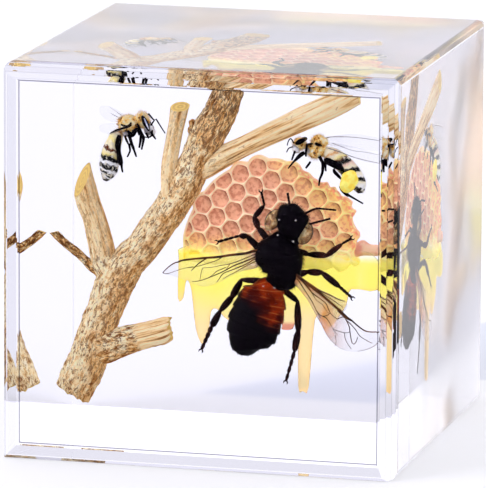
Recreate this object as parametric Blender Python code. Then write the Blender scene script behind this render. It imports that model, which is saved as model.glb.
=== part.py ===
"""A honeybee cast in a clear resin cube, before a branch, a piece of honeycomb and two small bees.

X runs to the right along the front face, Y away from it and Z up. The origin is on the
underside, at its centre. The cube is parted in two at one upright plane, and every specimen
lies in a pocket that opens at that plane. Shapes are written in millimetres as (x, z) points
of the front view, with y as the depth.
"""
import math

import bmesh
import bpy
from mathutils import Matrix, Vector, noise

for old in list(bpy.data.objects):
    bpy.data.objects.remove(old, do_unlink=True)

MM = 0.001
EDGE = 40.0          # the cube's side
BEVEL = 1.8          # its rounded edges
GAP = 0.3            # air left around every specimen, and between the two halves
PART_Y = 3.7         # depth of the parting plane
BEE_Y = 0.9          # mid depth of the honeybee
LEG_Y = 2.5          # depth of its legs
WING_Y = 0.1         # depth of its wings
WING = 0.24          # thickness of a wing
LAYER_Y = 5.5        # mid depth of the branch, the comb and the small bees
FLAT = 0.68          # depth of the branch's section over its width
COMB_FRONT = 4.3     # the comb's highest point, towards the front
COMB_BACK = 6.9
COMB_DOME = 1.5      # how far the comb falls back at its rim
CELL = 1.86          # spacing of the comb's cells
CELL_R = 0.84        # corner radius of a cell
CELL_DEEP = 1.05
CELL_TURN = 19.6     # slope of the rows of cells, degrees
HONEY_FRONT = 4.5
HONEY_BACK = 5.9

parts = bpy.data.collections.new("insect_in_resin_block")
cutters = bpy.data.collections.new("cutters")
for group in (parts, cutters):
    bpy.context.scene.collection.children.link(group)
waiting = []         # (object, its shapes, operation)


# ---------------------------------------------------------------- helpers
def material(name, colour, rough, alpha=1.0):
    mat = bpy.data.materials.new(name)
    mat.use_nodes = True
    shader = mat.node_tree.nodes["Principled BSDF"]
    shader.inputs["Base Color"].default_value = (*colour, 1.0)
    shader.inputs["Roughness"].default_value = rough
    shader.inputs["Metallic"].default_value = 0.0
    shader.inputs["Alpha"].default_value = alpha
    return mat


def add(name, bm, group=parts, mat=None):
    """Turn a bmesh in millimetres into an object in metres."""
    bmesh.ops.scale(bm, vec=(MM, MM, MM), verts=bm.verts)
    bmesh.ops.recalc_face_normals(bm, faces=bm.faces)
    mesh = bpy.data.meshes.new(name)
    bm.to_mesh(mesh)
    bm.free()
    obj = bpy.data.objects.new(name, mesh)
    group.objects.link(obj)
    if mat:
        mesh.materials.append(mat)
    if group is not parts:
        obj.hide_render = True
        obj.display_type = "WIRE"
    return obj


def curve_mesh(curve, name, matrix=Matrix.Identity(4)):
    """The closed mesh of a curve, in millimetres, as a bmesh."""
    obj = bpy.data.objects.new(name, curve)
    bpy.context.scene.collection.objects.link(obj)
    obj.matrix_world = matrix
    graph = bpy.context.evaluated_depsgraph_get()
    mesh = bpy.data.meshes.new_from_object(obj.evaluated_get(graph))
    bm = bmesh.new()
    bm.from_mesh(mesh)
    bmesh.ops.transform(bm, matrix=matrix, verts=bm.verts)
    bmesh.ops.remove_doubles(bm, verts=bm.verts, dist=1e-4)
    bpy.data.objects.remove(obj, do_unlink=True)
    return bm


def tube(points, sides_level=2, flat=1.0):
    """A tapered tube through (x, y, z, radius) points, with its section flattened in depth."""
    curve = bpy.data.curves.new("tube", "CURVE")
    curve.dimensions = "3D"
    curve.bevel_depth = 1.0
    curve.bevel_resolution = sides_level
    curve.use_fill_caps = True
    spline = curve.splines.new("POLY")
    spline.points.add(len(points) - 1)
    for place, (x, y, z, r) in zip(spline.points, points):
        place.co = (x, y / flat, z, 1.0)
        place.radius = r
    return curve_mesh(curve, "tube", Matrix.Diagonal((1.0, flat, 1.0, 1.0)))


def plate(outline, y0, y1):
    """A flat outline in the front view, filled between two depths."""
    curve = bpy.data.curves.new("plate", "CURVE")
    curve.dimensions = "2D"
    curve.fill_mode = "BOTH"
    curve.extrude = (y1 - y0) / 2
    spline = curve.splines.new("POLY")
    spline.points.add(len(outline) - 1)
    for place, (x, z) in zip(spline.points, outline):
        place.co = (x, z, 0.0, 1.0)
    spline.use_cyclic_u = True
    upright = Matrix.Translation((0, (y0 + y1) / 2, 0)) @ Matrix.Rotation(math.pi / 2, 4, "X")
    return curve_mesh(curve, "plate", upright)


def ball(x, y, z, rx, ry, rz, turn=0.0, segments=16, rings=10):
    """An ellipsoid with its own X axis turned in the front view, degrees."""
    bm = bmesh.new()
    place = (Matrix.Translation((x, y, z)) @ Matrix.Rotation(math.radians(-turn), 4, "Y")
             @ Matrix.Diagonal((rx, ry, rz, 1.0)))
    bmesh.ops.create_uvsphere(bm, u_segments=segments, v_segments=rings, radius=1.0,
                              matrix=place)
    return bm


def turned(profile, centre, turn, flat, steps=18):
    """A profile of (along, radius) turned about its own axis, then flattened in depth."""
    bm = bmesh.new()
    row = [bm.verts.new((radius, 0.0, along)) for along, radius in profile]
    for first, second in zip(row, row[1:]):
        bm.edges.new((first, second))
    bmesh.ops.spin(bm, geom=bm.verts[:] + bm.edges[:], cent=(0, 0, 0), axis=(0, 0, 1),
                   angle=2 * math.pi, steps=steps, use_merge=True)
    bmesh.ops.remove_doubles(bm, verts=bm.verts, dist=1e-4)
    place = (Matrix.Translation(centre) @ Matrix.Rotation(math.radians(-turn), 4, "Y")
             @ Matrix.Diagonal((1.0, flat, 1.0, 1.0)))
    bmesh.ops.transform(bm, matrix=place, verts=bm.verts)
    return bm


def oval(x, z, rx, rz, turn=0.0, count=18):
    points = []
    for i in range(count):
        a = 2 * math.pi * i / count
        u, v = rx * math.cos(a), rz * math.sin(a)
        c, s = math.cos(math.radians(turn)), math.sin(math.radians(turn))
        points.append((x + u * c - v * s, z + u * s + v * c))
    return points


def grown(outline, margin):
    """An outline moved outwards by a margin, corner by corner."""
    area = sum(a[0] * b[1] - b[0] * a[1] for a, b in zip(outline, outline[1:] + outline[:1]))
    side = 1.0 if area > 0 else -1.0
    points = []
    for i, here in enumerate(outline):
        before, after = Vector(outline[i - 1]), Vector(outline[(i + 1) % len(outline)])
        one = (Vector(here) - before).normalized()
        two = (after - Vector(here)).normalized()
        out = Vector((one.y + two.y, -one.x - two.x)) * side
        out.normalize()
        bend = max(0.55, out.dot(Vector((one.y, -one.x)) * side))
        points.append(tuple(Vector(here) + out * (margin / bend)))
    return points


def capsule(a, b, radius, count=5):
    """The outline of a rod with round ends, between two (x, z) points."""
    heading = math.atan2(b[1] - a[1], b[0] - a[0])
    points = []
    for end, base in ((b, heading - math.pi / 2), (a, heading + math.pi / 2)):
        for i in range(count):
            angle = base + math.pi * i / (count - 1)
            points.append((end[0] + radius * math.cos(angle), end[1] + radius * math.sin(angle)))
    return points


def smooth(stations, steps):
    """More stations along the same run, by Catmull-Rom interpolation."""
    out = []
    last = len(stations) - 1
    for i in range(last):
        p0, p1 = stations[max(i - 1, 0)], stations[i]
        p2, p3 = stations[i + 1], stations[min(i + 2, last)]
        for k in range(steps):
            t = k / steps
            out.append(tuple(0.5 * (2 * b + (c - a) * t + (2 * a - 5 * b + 4 * c - d) * t * t
                                    + (3 * b - a - 3 * c + d) * t ** 3)
                             for a, b, c, d in zip(p0, p1, p2, p3)))
    out.append(tuple(stations[last]))
    return out


def combine(obj, shapes, name, operation="UNION"):
    """Note shapes that are joined to an object, or cut from it."""
    group = bpy.data.collections.new(name)
    cutters.children.link(group)
    for i, shape in enumerate(shapes):
        add(f"{name}_{i:02d}", shape, group)
    waiting.append((obj, group, operation))
    return obj


def apply_waiting():
    """Give every noted object its Boolean, once all the shapes exist."""
    for obj, group, operation in waiting:
        modifier = obj.modifiers.new(group.name, "BOOLEAN")
        modifier.operation = operation
        modifier.operand_type = "COLLECTION"
        modifier.collection = group
        modifier.solver = "EXACT"
    waiting.clear()


# ---------------------------------------------------------------- honeybee
# Each leg is a run of (x, z, radius) from the thorax to the claw.
LEGS = (
    ((4.0, 20.4, 0.30), (2.5, 21.9, 0.34), (2.1, 23.0, 0.32), (3.1, 24.3, 0.20), (2.8, 25.5, 0.12)),
    ((3.8, 18.9, 0.36), (1.3, 21.0, 0.34), (0.5, 21.0, 0.22), (-1.6, 20.3, 0.12)),
    ((4.2, 16.6, 0.32), (0.8, 16.5, 0.30), (-0.2, 14.7, 0.38), (-1.4, 13.2, 0.28),
     (-2.3, 11.5, 0.40), (-3.3, 9.2, 0.14)),
    ((6.0, 20.0, 0.32), (7.7, 19.5, 0.30), (9.6, 19.5, 0.34), (11.2, 20.8, 0.20),
     (12.0, 21.3, 0.12)),
    ((5.9, 17.2, 0.32), (7.6, 17.7, 0.34), (9.1, 17.7, 0.34), (11.0, 16.3, 0.30),
     (12.1, 15.4, 0.12)),
    ((4.6, 16.4, 0.32), (6.6, 14.6, 0.32), (6.7, 11.6, 0.38), (6.3, 9.4, 0.32),
     (5.5, 6.4, 0.13)),
)
FEELERS = (
    ((5.8, 23.6, 0.16), (5.8, 25.9, 0.12)),
    ((7.2, 23.6, 0.14), (8.6, 24.2, 0.11), (9.4, 24.7, 0.10), (10.8, 24.4, 0.10)),
    ((7.2, 22.6, 0.14), (10.2, 23.5, 0.11)),
)
LEFT_WING = [(4.0, 19.6), (0.0, 19.2), (-2.7, 18.9), (-5.4, 18.3), (-7.0, 17.0), (-5.4, 16.8),
             (-3.4, 16.4), (-1.1, 16.6), (1.2, 17.3), (4.0, 18.4)]
RIGHT_WING = [(6.4, 17.6), (9.3, 15.9), (11.6, 13.9), (13.4, 12.7), (15.2, 12.3), (15.0, 11.3),
              (12.6, 10.7), (10.7, 11.8), (9.3, 13.3), (7.9, 15.4), (6.2, 17.0)]
RIGHT_HIND_WING = [(6.4, 17.8), (9.4, 16.6), (11.8, 15.1), (11.3, 14.4), (9.2, 15.5), (6.4, 17.2)]
ABDOMEN_TOP = (3.3, 1.1, 16.6)
ABDOMEN_LEAN = -11.0
# (distance from the waist, radius): each ring of the abdomen overlaps the next.
ABDOMEN = ((0.0, 0.0), (0.1, 1.5), (0.6, 2.15), (1.4, 2.5), (1.5, 2.42), (2.7, 2.8), (2.8, 2.7),
           (4.0, 2.95), (4.1, 2.8), (5.2, 2.65), (5.3, 2.45), (6.3, 1.95), (6.4, 1.7),
           (7.1, 0.9), (7.6, 0.0))


def honeybee(mat):
    waist = ball(4.6, BEE_Y, 16.6, 1.2, 1.0, 1.1, segments=12, rings=8)
    shapes = [
        ball(6.15, BEE_Y - 0.1, 22.9, 1.75, 1.4, 1.6, -23, 16, 10),
        ball(4.3, BEE_Y, 23.2, 0.62, 0.9, 1.15, -23, 12, 8),
        ball(7.6, BEE_Y, 21.6, 0.62, 0.9, 1.15, -23, 12, 8),
        ball(5.2, BEE_Y, 18.9, 2.45, 2.0, 2.5, 0, 18, 12),
        ball(5.6, BEE_Y, 21.2, 0.9, 0.8, 0.9, 0, 10, 6),
        turned([(-s, r) for s, r in ABDOMEN], ABDOMEN_TOP, ABDOMEN_LEAN, 0.68, 18),
        plate(LEFT_WING, WING_Y - WING / 2, WING_Y + WING / 2),
        plate(RIGHT_WING, WING_Y - WING / 2, WING_Y + WING / 2),
        plate(RIGHT_HIND_WING, WING_Y + 0.35, WING_Y + 0.35 + WING),
    ]
    for leg in LEGS:
        run = []
        for i, (x, z, r) in enumerate(leg):
            depth = BEE_Y + 0.6 if i == 0 else LEG_Y
            run.append((x, depth, z, r))
        shapes.append(tube(run, 1))
    for feeler in FEELERS:
        shapes.append(tube([(x, BEE_Y - 0.3, z, r) for x, z, r in feeler], 0))
    return combine(add("honeybee", waist, mat=mat), shapes, "honeybee_shapes")


def abdomen_outline():
    """The abdomen's outline in the front view, drawn over its rings."""
    lean = math.radians(ABDOMEN_LEAN)
    points = []
    right = ABDOMEN[1::2] + ((ABDOMEN[-1][0], 0.3),)
    for side, rows in ((1, right), (-1, right[::-1])):
        for along, radius in rows:
            across = side * (radius + 0.12)
            points.append((ABDOMEN_TOP[0] + across * math.cos(lean) + along * math.sin(lean),
                           ABDOMEN_TOP[2] + across * math.sin(lean) - along * math.cos(lean)))
    return points


def honeybee_pocket():
    """Prisms over the bee's outline, each as deep as what lies in it."""
    out = PART_Y + 1.0
    shapes = [
        plate(grown(oval(6.0, 22.4, 2.65, 2.2, -23), GAP), BEE_Y - 1.8, out),
        plate(grown(oval(5.2, 18.9, 2.45, 2.5), GAP), BEE_Y - 2.3, out + 0.1),
        plate(grown(abdomen_outline(), GAP), BEE_Y - 2.2, out + 0.2),
        plate(grown(oval(4.6, 16.6, 1.2, 1.1, count=12), GAP), BEE_Y - 1.4, out + 0.25),
        plate(grown(LEFT_WING, GAP), WING_Y - WING / 2 - GAP, out + 0.3),
        plate(grown(RIGHT_WING, GAP), WING_Y - WING / 2 - GAP, out + 0.4),
        plate(grown(RIGHT_HIND_WING, GAP), WING_Y + 0.35 - GAP, out + 0.5),
    ]
    for n, leg in enumerate(LEGS):
        for i, (a, b) in enumerate(zip(leg, leg[1:])):
            radius = max(a[2], b[2]) + GAP
            near = (BEE_Y + 0.6 if i == 0 else LEG_Y) - radius - 0.1 - 0.01 * n
            shapes.append(plate(capsule(a[:2], b[:2], radius), near, out + 0.6 + 0.01 * n))
    for feeler in FEELERS:
        for a, b in zip(feeler, feeler[1:]):
            shapes.append(plate(capsule(a[:2], b[:2], a[2] + GAP), BEE_Y - 0.8, out + 0.7))
    return shapes


# ---------------------------------------------------------------- branch
# Runs of (x, z, radius) up each limb.
TRUNK = ((-17.3, 3.1, 1.65), (-16.5, 5.2, 1.85), (-15.6, 7.4, 2.0), (-14.2, 11.4, 1.9),
         (-13.1, 14.8, 2.05), (-11.5, 17.4, 1.75), (-10.2, 18.8, 1.65), (-8.4, 21.3, 1.7),
         (-7.1, 23.2, 1.7), (-5.6, 25.8, 1.75), (-3.9, 28.6, 1.7), (-2.7, 31.2, 1.5),
         (-1.7, 33.6, 1.45), (-0.9, 36.4, 1.4))
ARM = ((-3.3, 27.7, 1.2), (-1.0, 29.0, 1.1), (1.1, 30.1, 1.05), (5.2, 32.2, 1.15),
       (9.2, 34.2, 1.2), (12.2, 35.8, 1.1))
UPRIGHT = ((-6.7, 23.9, 0.75), (-7.0, 26.0, 0.85), (-6.6, 29.5, 0.85), (-6.2, 33.7, 0.95))
LEFT_STUB = ((-13.2, 16.2, 1.15), (-13.9, 18.4, 1.1), (-14.9, 21.2, 1.05), (-15.9, 24.0, 0.95),
             (-16.5, 26.3, 0.7))
RIGHT_STUB = ((-13.9, 8.3, 1.7), (-12.0, 9.2, 1.45), (-9.6, 10.2, 1.2), (-7.1, 10.6, 1.0))
TWIG = ((-14.3, 15.4, 0.65), (-15.8, 17.2, 0.5), (-17.4, 18.8, 0.5), (-19.0, 20.4, 0.4))
BUD = (-4.2, 31.6, 0.6)


def limb(stations, depth, steps, level, grow=0.0, seed=0.0):
    """A tapered, slightly knobbly tube along a limb."""
    run = [(x, depth, z, r + grow) for x, z, r in smooth(stations, steps)]
    bm = tube(run, level, FLAT)
    axis = [Vector((x, y, z)) for x, y, z, r in run]
    for v in bm.verts:
        near = min(axis, key=lambda point: (point - v.co).length)
        away = v.co - near
        lump = noise.noise(Vector((v.co.x * 0.7 + seed, v.co.y * 0.9, v.co.z * 0.45)))
        v.co += away * (0.16 * lump)
    return bm


def branch(mat):
    """The trunk, with its bud, and the limbs, each cut back to stand clear of the trunk."""
    trunk = add("branch_trunk", limb(TRUNK, LAYER_Y, 2, 4), mat=mat)
    x, z, r = BUD
    combine(trunk, [ball(x, LAYER_Y, z, r, r, r, 0, 8, 6)], "branch_bud")
    limbs = (
        ("branch_arm", ARM, LAYER_Y, 3),
        ("branch_upright", UPRIGHT, LAYER_Y - 0.2, 3),
        ("branch_left_stub", LEFT_STUB, LAYER_Y, 3),
        ("branch_right_stub", RIGHT_STUB, LAYER_Y, 3),
        ("branch_twig", TWIG, LAYER_Y, 2),
    )
    for k, (name, run, depth, level) in enumerate(limbs):
        obj = add(name, limb(run, depth, 2, level, seed=3.0 * k + 2), mat=mat)
        hold_off = [limb(TRUNK, LAYER_Y, 2, 4, grow=GAP)]
        if name == "branch_twig":
            hold_off.append(limb(LEFT_STUB, LAYER_Y, 2, 3, grow=GAP, seed=8.0))
        combine(obj, hold_off, name + "_fork", "DIFFERENCE")


def limb_pocket(stations, depth, index, margin=0.18):
    """Prisms along a limb, from behind it to the parting plane."""
    shapes = []
    for i, (a, b) in enumerate(zip(stations, stations[1:])):
        radius = max(a[2], b[2]) * (1 + margin) + GAP
        behind = depth + max(a[2], b[2]) * FLAT * (1 + margin) + GAP
        shapes.append(plate(capsule(a[:2], b[:2], radius, 6), PART_Y - 1.0 - 0.1 * index,
                            behind + 0.01 * i))
    return shapes


# ---------------------------------------------------------------- honeycomb and honey
COMB = [(-6.0, 18.9), (-6.2, 20.5), (-5.5, 22.2), (-4.5, 23.4), (-2.7, 24.8), (-0.5, 26.4),
        (1.0, 27.7), (2.5, 28.7), (4.0, 28.8), (6.3, 28.1), (8.2, 27.3), (9.3, 26.6),
        (10.8, 25.3), (12.1, 23.8), (11.6, 22.8), (12.6, 21.8), (12.9, 20.8), (14.4, 20.4),
        (14.4, 19.5), (12.4, 19.4), (10.8, 18.8), (8.5, 19.1), (6.5, 18.6), (0.2, 19.7),
        (-2.0, 19.8), (-5.4, 18.7)]
HONEY = [(-6.2, 18.2), (-6.3, 13.9), (-5.7, 14.0), (-5.4, 15.8), (-4.9, 14.8), (-4.4, 10.8),
         (-3.6, 9.2), (-3.0, 11.0), (-2.8, 12.7), (-2.2, 13.0), (-1.0, 11.9), (0.8, 12.3),
         (4.4, 11.9), (4.5, 11.3), (5.7, 11.4), (6.2, 12.6), (6.3, 5.5), (6.8, 5.1), (7.4, 5.5),
         (8.0, 12.5), (8.9, 12.6), (9.6, 11.8), (11.2, 14.1), (11.7, 15.8), (14.5, 15.9),
         (14.5, 18.9), (12.4, 18.8), (10.8, 18.2), (8.5, 18.5), (6.5, 18.0), (0.2, 19.1),
         (-2.0, 19.2), (-5.4, 18.0)]
# Runs of (x, z, radius) down each drip.
DRIPS = (
    ((6.9, 15.5, 0.75), (6.85, 11.0, 0.85), (6.85, 6.1, 0.72)),
    ((-3.5, 16.0, 0.80), (-3.6, 12.5, 0.85), (-3.65, 10.3, 0.62)),
    ((-5.9, 17.4, 0.40), (-6.0, 14.4, 0.30)),
)
COMB_MIDDLE = (4.0, 20.5)
COMB_REACH = (10.5, 9.0)
FIRST_CELL = (1.4, 24.0)


def comb_front(x, z):
    """Depth of the comb's domed front."""
    u = (x - COMB_MIDDLE[0]) / COMB_REACH[0]
    v = (z - COMB_MIDDLE[1]) / COMB_REACH[1]
    return COMB_FRONT + COMB_DOME * min(u * u + v * v, 1.2)


def inside(x, z, outline, margin):
    """True where a point is inside an outline by at least a margin."""
    within = False
    for (x1, z1), (x2, z2) in zip(outline, outline[1:] + outline[:1]):
        if (z1 > z) != (z2 > z) and x < x1 + (z - z1) / (z2 - z1) * (x2 - x1):
            within = not within
        run = Vector((x2 - x1, z2 - z1))
        t = max(0.0, min(1.0, (Vector((x - x1, z - z1)).dot(run)) / run.length_squared))
        if (Vector((x - x1, z - z1)) - run * t).length < margin:
            return False
    return within


def cell_centres():
    along = Vector((math.cos(math.radians(CELL_TURN)), math.sin(math.radians(CELL_TURN)))) * CELL
    up = Matrix.Rotation(math.radians(60), 2) @ along
    for i in range(-12, 13):
        for j in range(-12, 13):
            spot = Vector(FIRST_CELL) + along * i + up * j
            if inside(spot.x, spot.y, COMB, CELL_R * 0.78):
                yield spot.x, spot.y


def honeycomb(mat):
    cells = []
    for x, z in cell_centres():
        bottom = comb_front(x, z) + CELL_DEEP
        top = COMB_FRONT - 0.5
        bm = bmesh.new()
        place = (Matrix.Translation((x, (top + bottom) / 2, z))
                 @ Matrix.Rotation(math.radians(-CELL_TURN), 4, "Y")
                 @ Matrix.Rotation(math.pi / 2, 4, "X"))
        bmesh.ops.create_cone(bm, cap_ends=True, segments=6, radius1=CELL_R * 0.8,
                              radius2=CELL_R, depth=bottom - top, matrix=place
                              @ Matrix.Rotation(math.pi / 6, 4, "Z"))
        cells.append(bm)
    slab = combine(add("comb_slab", plate(COMB, COMB_FRONT, COMB_BACK)), cells, "comb_cells",
                   "DIFFERENCE")
    apply_waiting()
    # The pits are cut in a flat slab, and its front is then drawn back into a dome.
    graph = bpy.context.evaluated_depsgraph_get()
    mesh = bpy.data.meshes.new_from_object(slab.evaluated_get(graph))
    bm = bmesh.new()
    bm.from_mesh(mesh)
    bmesh.ops.scale(bm, vec=(1 / MM,) * 3, verts=bm.verts)
    bmesh.ops.triangulate(bm, faces=bm.faces)
    for v in bm.verts:
        if v.co.y < COMB_FRONT + 0.01:
            v.co.y = comb_front(v.co.x, v.co.z)
    bpy.data.objects.remove(slab, do_unlink=True)
    return add("honeycomb", bm, mat=mat)


def honey(mat):
    """A sheet that hangs from the comb, swollen along its drips."""
    depth = (HONEY_FRONT + HONEY_BACK) / 2
    shapes = []
    for run in DRIPS:
        shapes.append(tube([(x, depth, z, r) for x, z, r in run], 2, 0.95))
        x, z, r = run[-1]
        shapes.append(ball(x, depth, z, r, r * 0.95, r * 1.3, 0, 10, 8))
    return combine(add("honey", plate(HONEY, HONEY_FRONT, HONEY_BACK), mat=mat), shapes,
                   "honey_drips")


# ---------------------------------------------------------------- the two small bees
def small_bee(name, mat, base, shapes):
    return combine(add(name, base, mat=mat), shapes, name + "_shapes")


def flying_bee(mat):
    y = LAYER_Y - 0.2
    shapes = [
        ball(-11.4, y, 31.2, 1.2, 1.1, 1.1, 0, 12, 8),
        ball(-9.6, y, 31.6, 0.75, 0.9, 1.1, 20, 10, 8),
        plate([(-11.2, 31.6), (-12.8, 32.9), (-14.4, 33.2), (-14.6, 32.4), (-13.4, 31.6)],
              y + 0.25, y + 0.45),
        plate([(-11.4, 31.2), (-12.8, 31.6), (-14.4, 31.3), (-14.3, 30.6), (-12.6, 30.4)],
              y - 0.45, y - 0.25),
    ]
    for run in (((-11.9, 30.4, 0.22), (-12.2, 28.6, 0.26), (-12.3, 26.8, 0.14)),
                ((-11.2, 30.4, 0.18), (-10.9, 29.2, 0.18), (-10.7, 28.2, 0.11)),
                ((-9.8, 31.2, 0.18), (-9.8, 29.8, 0.16), (-10.2, 29.0, 0.11)),
                ((-9.6, 32.0, 0.12), (-8.9, 32.0, 0.11), (-7.8, 30.9, 0.10))):
        shapes.append(tube([(px, y - (0.3 if i == 0 else 0.7), pz, r)
                            for i, (px, pz, r) in enumerate(run)], 0))
    return small_bee("flying_bee", mat, ball(-12.9, y, 28.3, 2.7, 1.05, 1.2, 74, 14, 10), shapes)


def pollen_bee(mat):
    y = LAYER_Y - 0.4
    shapes = [
        ball(8.0, y, 30.3, 1.3, 1.05, 1.15, 0, 12, 8),
        ball(6.2, y, 30.4, 0.85, 0.8, 0.95, -30, 10, 8),
        ball(11.4, y - 0.35, 27.0, 0.85, 0.75, 0.85, 0, 10, 8),
        plate([(8.4, 31.0), (11.5, 31.6), (14.4, 31.3), (15.3, 30.6), (14.4, 30.0), (11.6, 30.2),
               (9.0, 30.4)], y + 0.2, y + 0.4),
        plate([(8.6, 30.8), (11.8, 30.4), (14.0, 29.8), (14.6, 29.2), (13.8, 28.8), (11.4, 29.4)],
              y - 0.3, y - 0.1),
    ]
    for run in (((6.6, 30.2, 0.16), (5.7, 28.9, 0.16), (5.2, 28.3, 0.11)),
                ((8.3, 29.8, 0.18), (8.9, 28.6, 0.16), (8.6, 27.9, 0.11)),
                ((11.2, 26.6, 0.24), (11.7, 25.6, 0.16), (12.7, 25.1, 0.10))):
        shapes.append(tube([(px, y - (0.2 if i == 0 else 0.6), pz, r)
                            for i, (px, pz, r) in enumerate(run)], 0))
    return small_bee("pollen_bee", mat, ball(10.9, y, 28.1, 2.6, 1.0, 1.15, -53, 14, 10), shapes)


FLYING_ROOM = [(-14.0, 25.2), (-12.0, 25.9), (-9.4, 28.3), (-7.2, 30.4), (-7.6, 31.9),
               (-8.8, 33.0), (-11.2, 32.9), (-14.2, 33.9), (-15.2, 32.6), (-15.0, 30.0),
               (-14.8, 27.6)]
POLLEN_ROOM = [(12.4, 24.5), (13.4, 25.1), (13.6, 27.9), (15.4, 28.9), (15.9, 30.8),
               (14.6, 32.0), (10.6, 32.1), (7.8, 32.1), (5.2, 31.7), (4.6, 29.8), (4.7, 27.9),
               (8.2, 27.4), (9.9, 27.0), (10.8, 25.4)]


# ---------------------------------------------------------------- clear resin
def resin_half(name, keep_front, mat):
    bm = bmesh.new()
    bmesh.ops.create_cube(bm, size=EDGE, matrix=Matrix.Translation((0, 0, EDGE / 2)))
    bmesh.ops.bevel(bm, geom=bm.edges[:], offset=BEVEL, segments=2, profile=0.5, affect="EDGES",
                    material=-1)
    side = -1.0 if keep_front else 1.0
    cut = bmesh.ops.bisect_plane(bm, geom=bm.verts[:] + bm.edges[:] + bm.faces[:],
                                 plane_co=(0, PART_Y + side * GAP / 2, 0), plane_no=(0, -side, 0),
                                 clear_outer=True, dist=1e-5)
    rim = [e for e in cut["geom_cut"] if isinstance(e, bmesh.types.BMEdge)]
    bmesh.ops.edgenet_fill(bm, edges=rim)
    return add(name, bm, mat=mat)


def resin(mat):
    front = resin_half("resin_front", True, mat)
    combine(front, honeybee_pocket(), "front_pocket", "DIFFERENCE")
    back = resin_half("resin_back", False, mat)
    room = limb_pocket(TRUNK, LAYER_Y, 0)
    for index, run in enumerate((ARM, LEFT_STUB, RIGHT_STUB, TWIG), 1):
        room += limb_pocket(run, LAYER_Y, index)
    room += limb_pocket(UPRIGHT, LAYER_Y - 0.2, 5)
    start = PART_Y - 2.0
    for run in DRIPS:
        middle = (HONEY_FRONT + HONEY_BACK) / 2
        for a, b in zip(run, run[1:]):
            radius = max(a[2], b[2]) + GAP
            end = (b[0], b[1] - (b[2] * 0.3 if b is run[-1] else 0.0))
            room.append(plate(capsule(a[:2], end, radius), start - 0.15, middle + radius))
    x, z, r = BUD
    room += [
        plate(oval(x, z, r + GAP, r + GAP, count=10), start, LAYER_Y + r + GAP),
        plate(grown(COMB, GAP), start - 0.1, COMB_BACK + GAP),
        plate(grown(HONEY, GAP), start - 0.2, HONEY_BACK + GAP),
        plate(FLYING_ROOM, start - 0.3, LAYER_Y + 1.0 + GAP),
        plate(POLLEN_ROOM, start - 0.4, LAYER_Y + 0.75 + GAP),
    ]
    combine(back, room, "back_pocket", "DIFFERENCE")


clear = material("clear_resin", (0.93, 0.93, 0.97), 0.03, 0.3)
insect = material("dark_insect", (0.035, 0.015, 0.012), 0.35)
bark = material("bark", (0.50, 0.33, 0.17), 0.85)
wax = material("beeswax", (0.85, 0.50, 0.25), 0.5)
gold = material("honey", (0.95, 0.66, 0.12), 0.15)
fur = material("banded_insect", (0.42, 0.30, 0.12), 0.7)

honeycomb(wax)
honey(gold)
resin(clear)
honeybee(insect)
branch(bark)
flying_bee(fur)
pollen_bee(fur)
apply_waiting()
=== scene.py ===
# %% [markdown]
# # A honeybee cast in clear resin
#
# The real object is a solid cube of clear resin, about 40 mm on a side. A dried
# honeybee floats near its middle. Behind the bee lies one thin layer with a cut
# branch, a piece of honeycomb with honey running from it, and two small bees.
#
# This lesson loads the plain CAD model as a frame, then gives each specimen a
# detailed mesh and finish of its own. The pieces sit where the CAD solids are,
# so each one stays in its place from every side.

# %% Load the frame
import math
import random
from bisect import bisect_right

import bmesh
import bpy
from mathutils import Matrix, Vector, noise


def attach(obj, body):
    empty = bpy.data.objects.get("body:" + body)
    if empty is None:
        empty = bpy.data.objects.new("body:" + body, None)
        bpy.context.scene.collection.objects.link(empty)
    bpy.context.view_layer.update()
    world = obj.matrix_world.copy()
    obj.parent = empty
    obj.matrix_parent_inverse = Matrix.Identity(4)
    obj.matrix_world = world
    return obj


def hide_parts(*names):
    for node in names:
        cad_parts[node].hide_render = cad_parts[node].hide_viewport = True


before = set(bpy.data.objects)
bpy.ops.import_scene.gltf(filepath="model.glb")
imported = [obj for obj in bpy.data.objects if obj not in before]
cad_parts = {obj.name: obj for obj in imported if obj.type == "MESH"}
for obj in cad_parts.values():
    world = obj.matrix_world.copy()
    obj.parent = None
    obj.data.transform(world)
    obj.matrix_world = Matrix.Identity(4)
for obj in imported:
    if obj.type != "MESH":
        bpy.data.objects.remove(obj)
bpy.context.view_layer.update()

random.seed(4)

# %% [markdown]
# ## Shared sizes
#
# Shapes are written in millimetres as (x, z) points of the front view, with y as
# the depth, because the block is looked at through its front face. Most of these
# values repeat the ones that the CAD solids were made from. The cells' spacing
# doesn't: it is 1.86 mm there.

# %% Shared sizes
MM = 0.001
PER_METRE = 1000     # millimetres in a metre
EDGE = 40.0          # the cube's side
BEE_Y = 0.9          # mid depth of the honeybee
LEG_Y = 2.5          # depth of its legs
WING_Y = 0.1         # depth of its wings
LAYER_Y = 5.5        # mid depth of the branch, the comb and the small bees
FLAT = 0.68          # depth of the branch's section over its width
COMB_FRONT = 4.3     # the comb's highest point, towards the front
COMB_BACK = 6.9
COMB_DOME = 1.5      # how far the comb falls back at its rim
CELL = 1.92          # spacing of the honeycomb's cells
CELL_DEEP = 0.7
CELL_TURN = 21.9     # slant of its rows, degrees
HONEY_MID = 5.2
HONEY_HALF = 0.7     # half the honey's thickness
print("The bee lies", round(EDGE / 2 + BEE_Y, 1), "mm behind the front face")

# %% [markdown]
# ## A small language for materials
#
# A procedural material is a sum of patterns, and sums are easiest to read as
# sums. `Wire` wraps a node's output, so that `1 - mask * 0.5` adds the Math nodes
# by itself. `Board` holds one node tree, and its `node` method adds any other
# node: settings first, then the values or links of its sockets.

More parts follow.
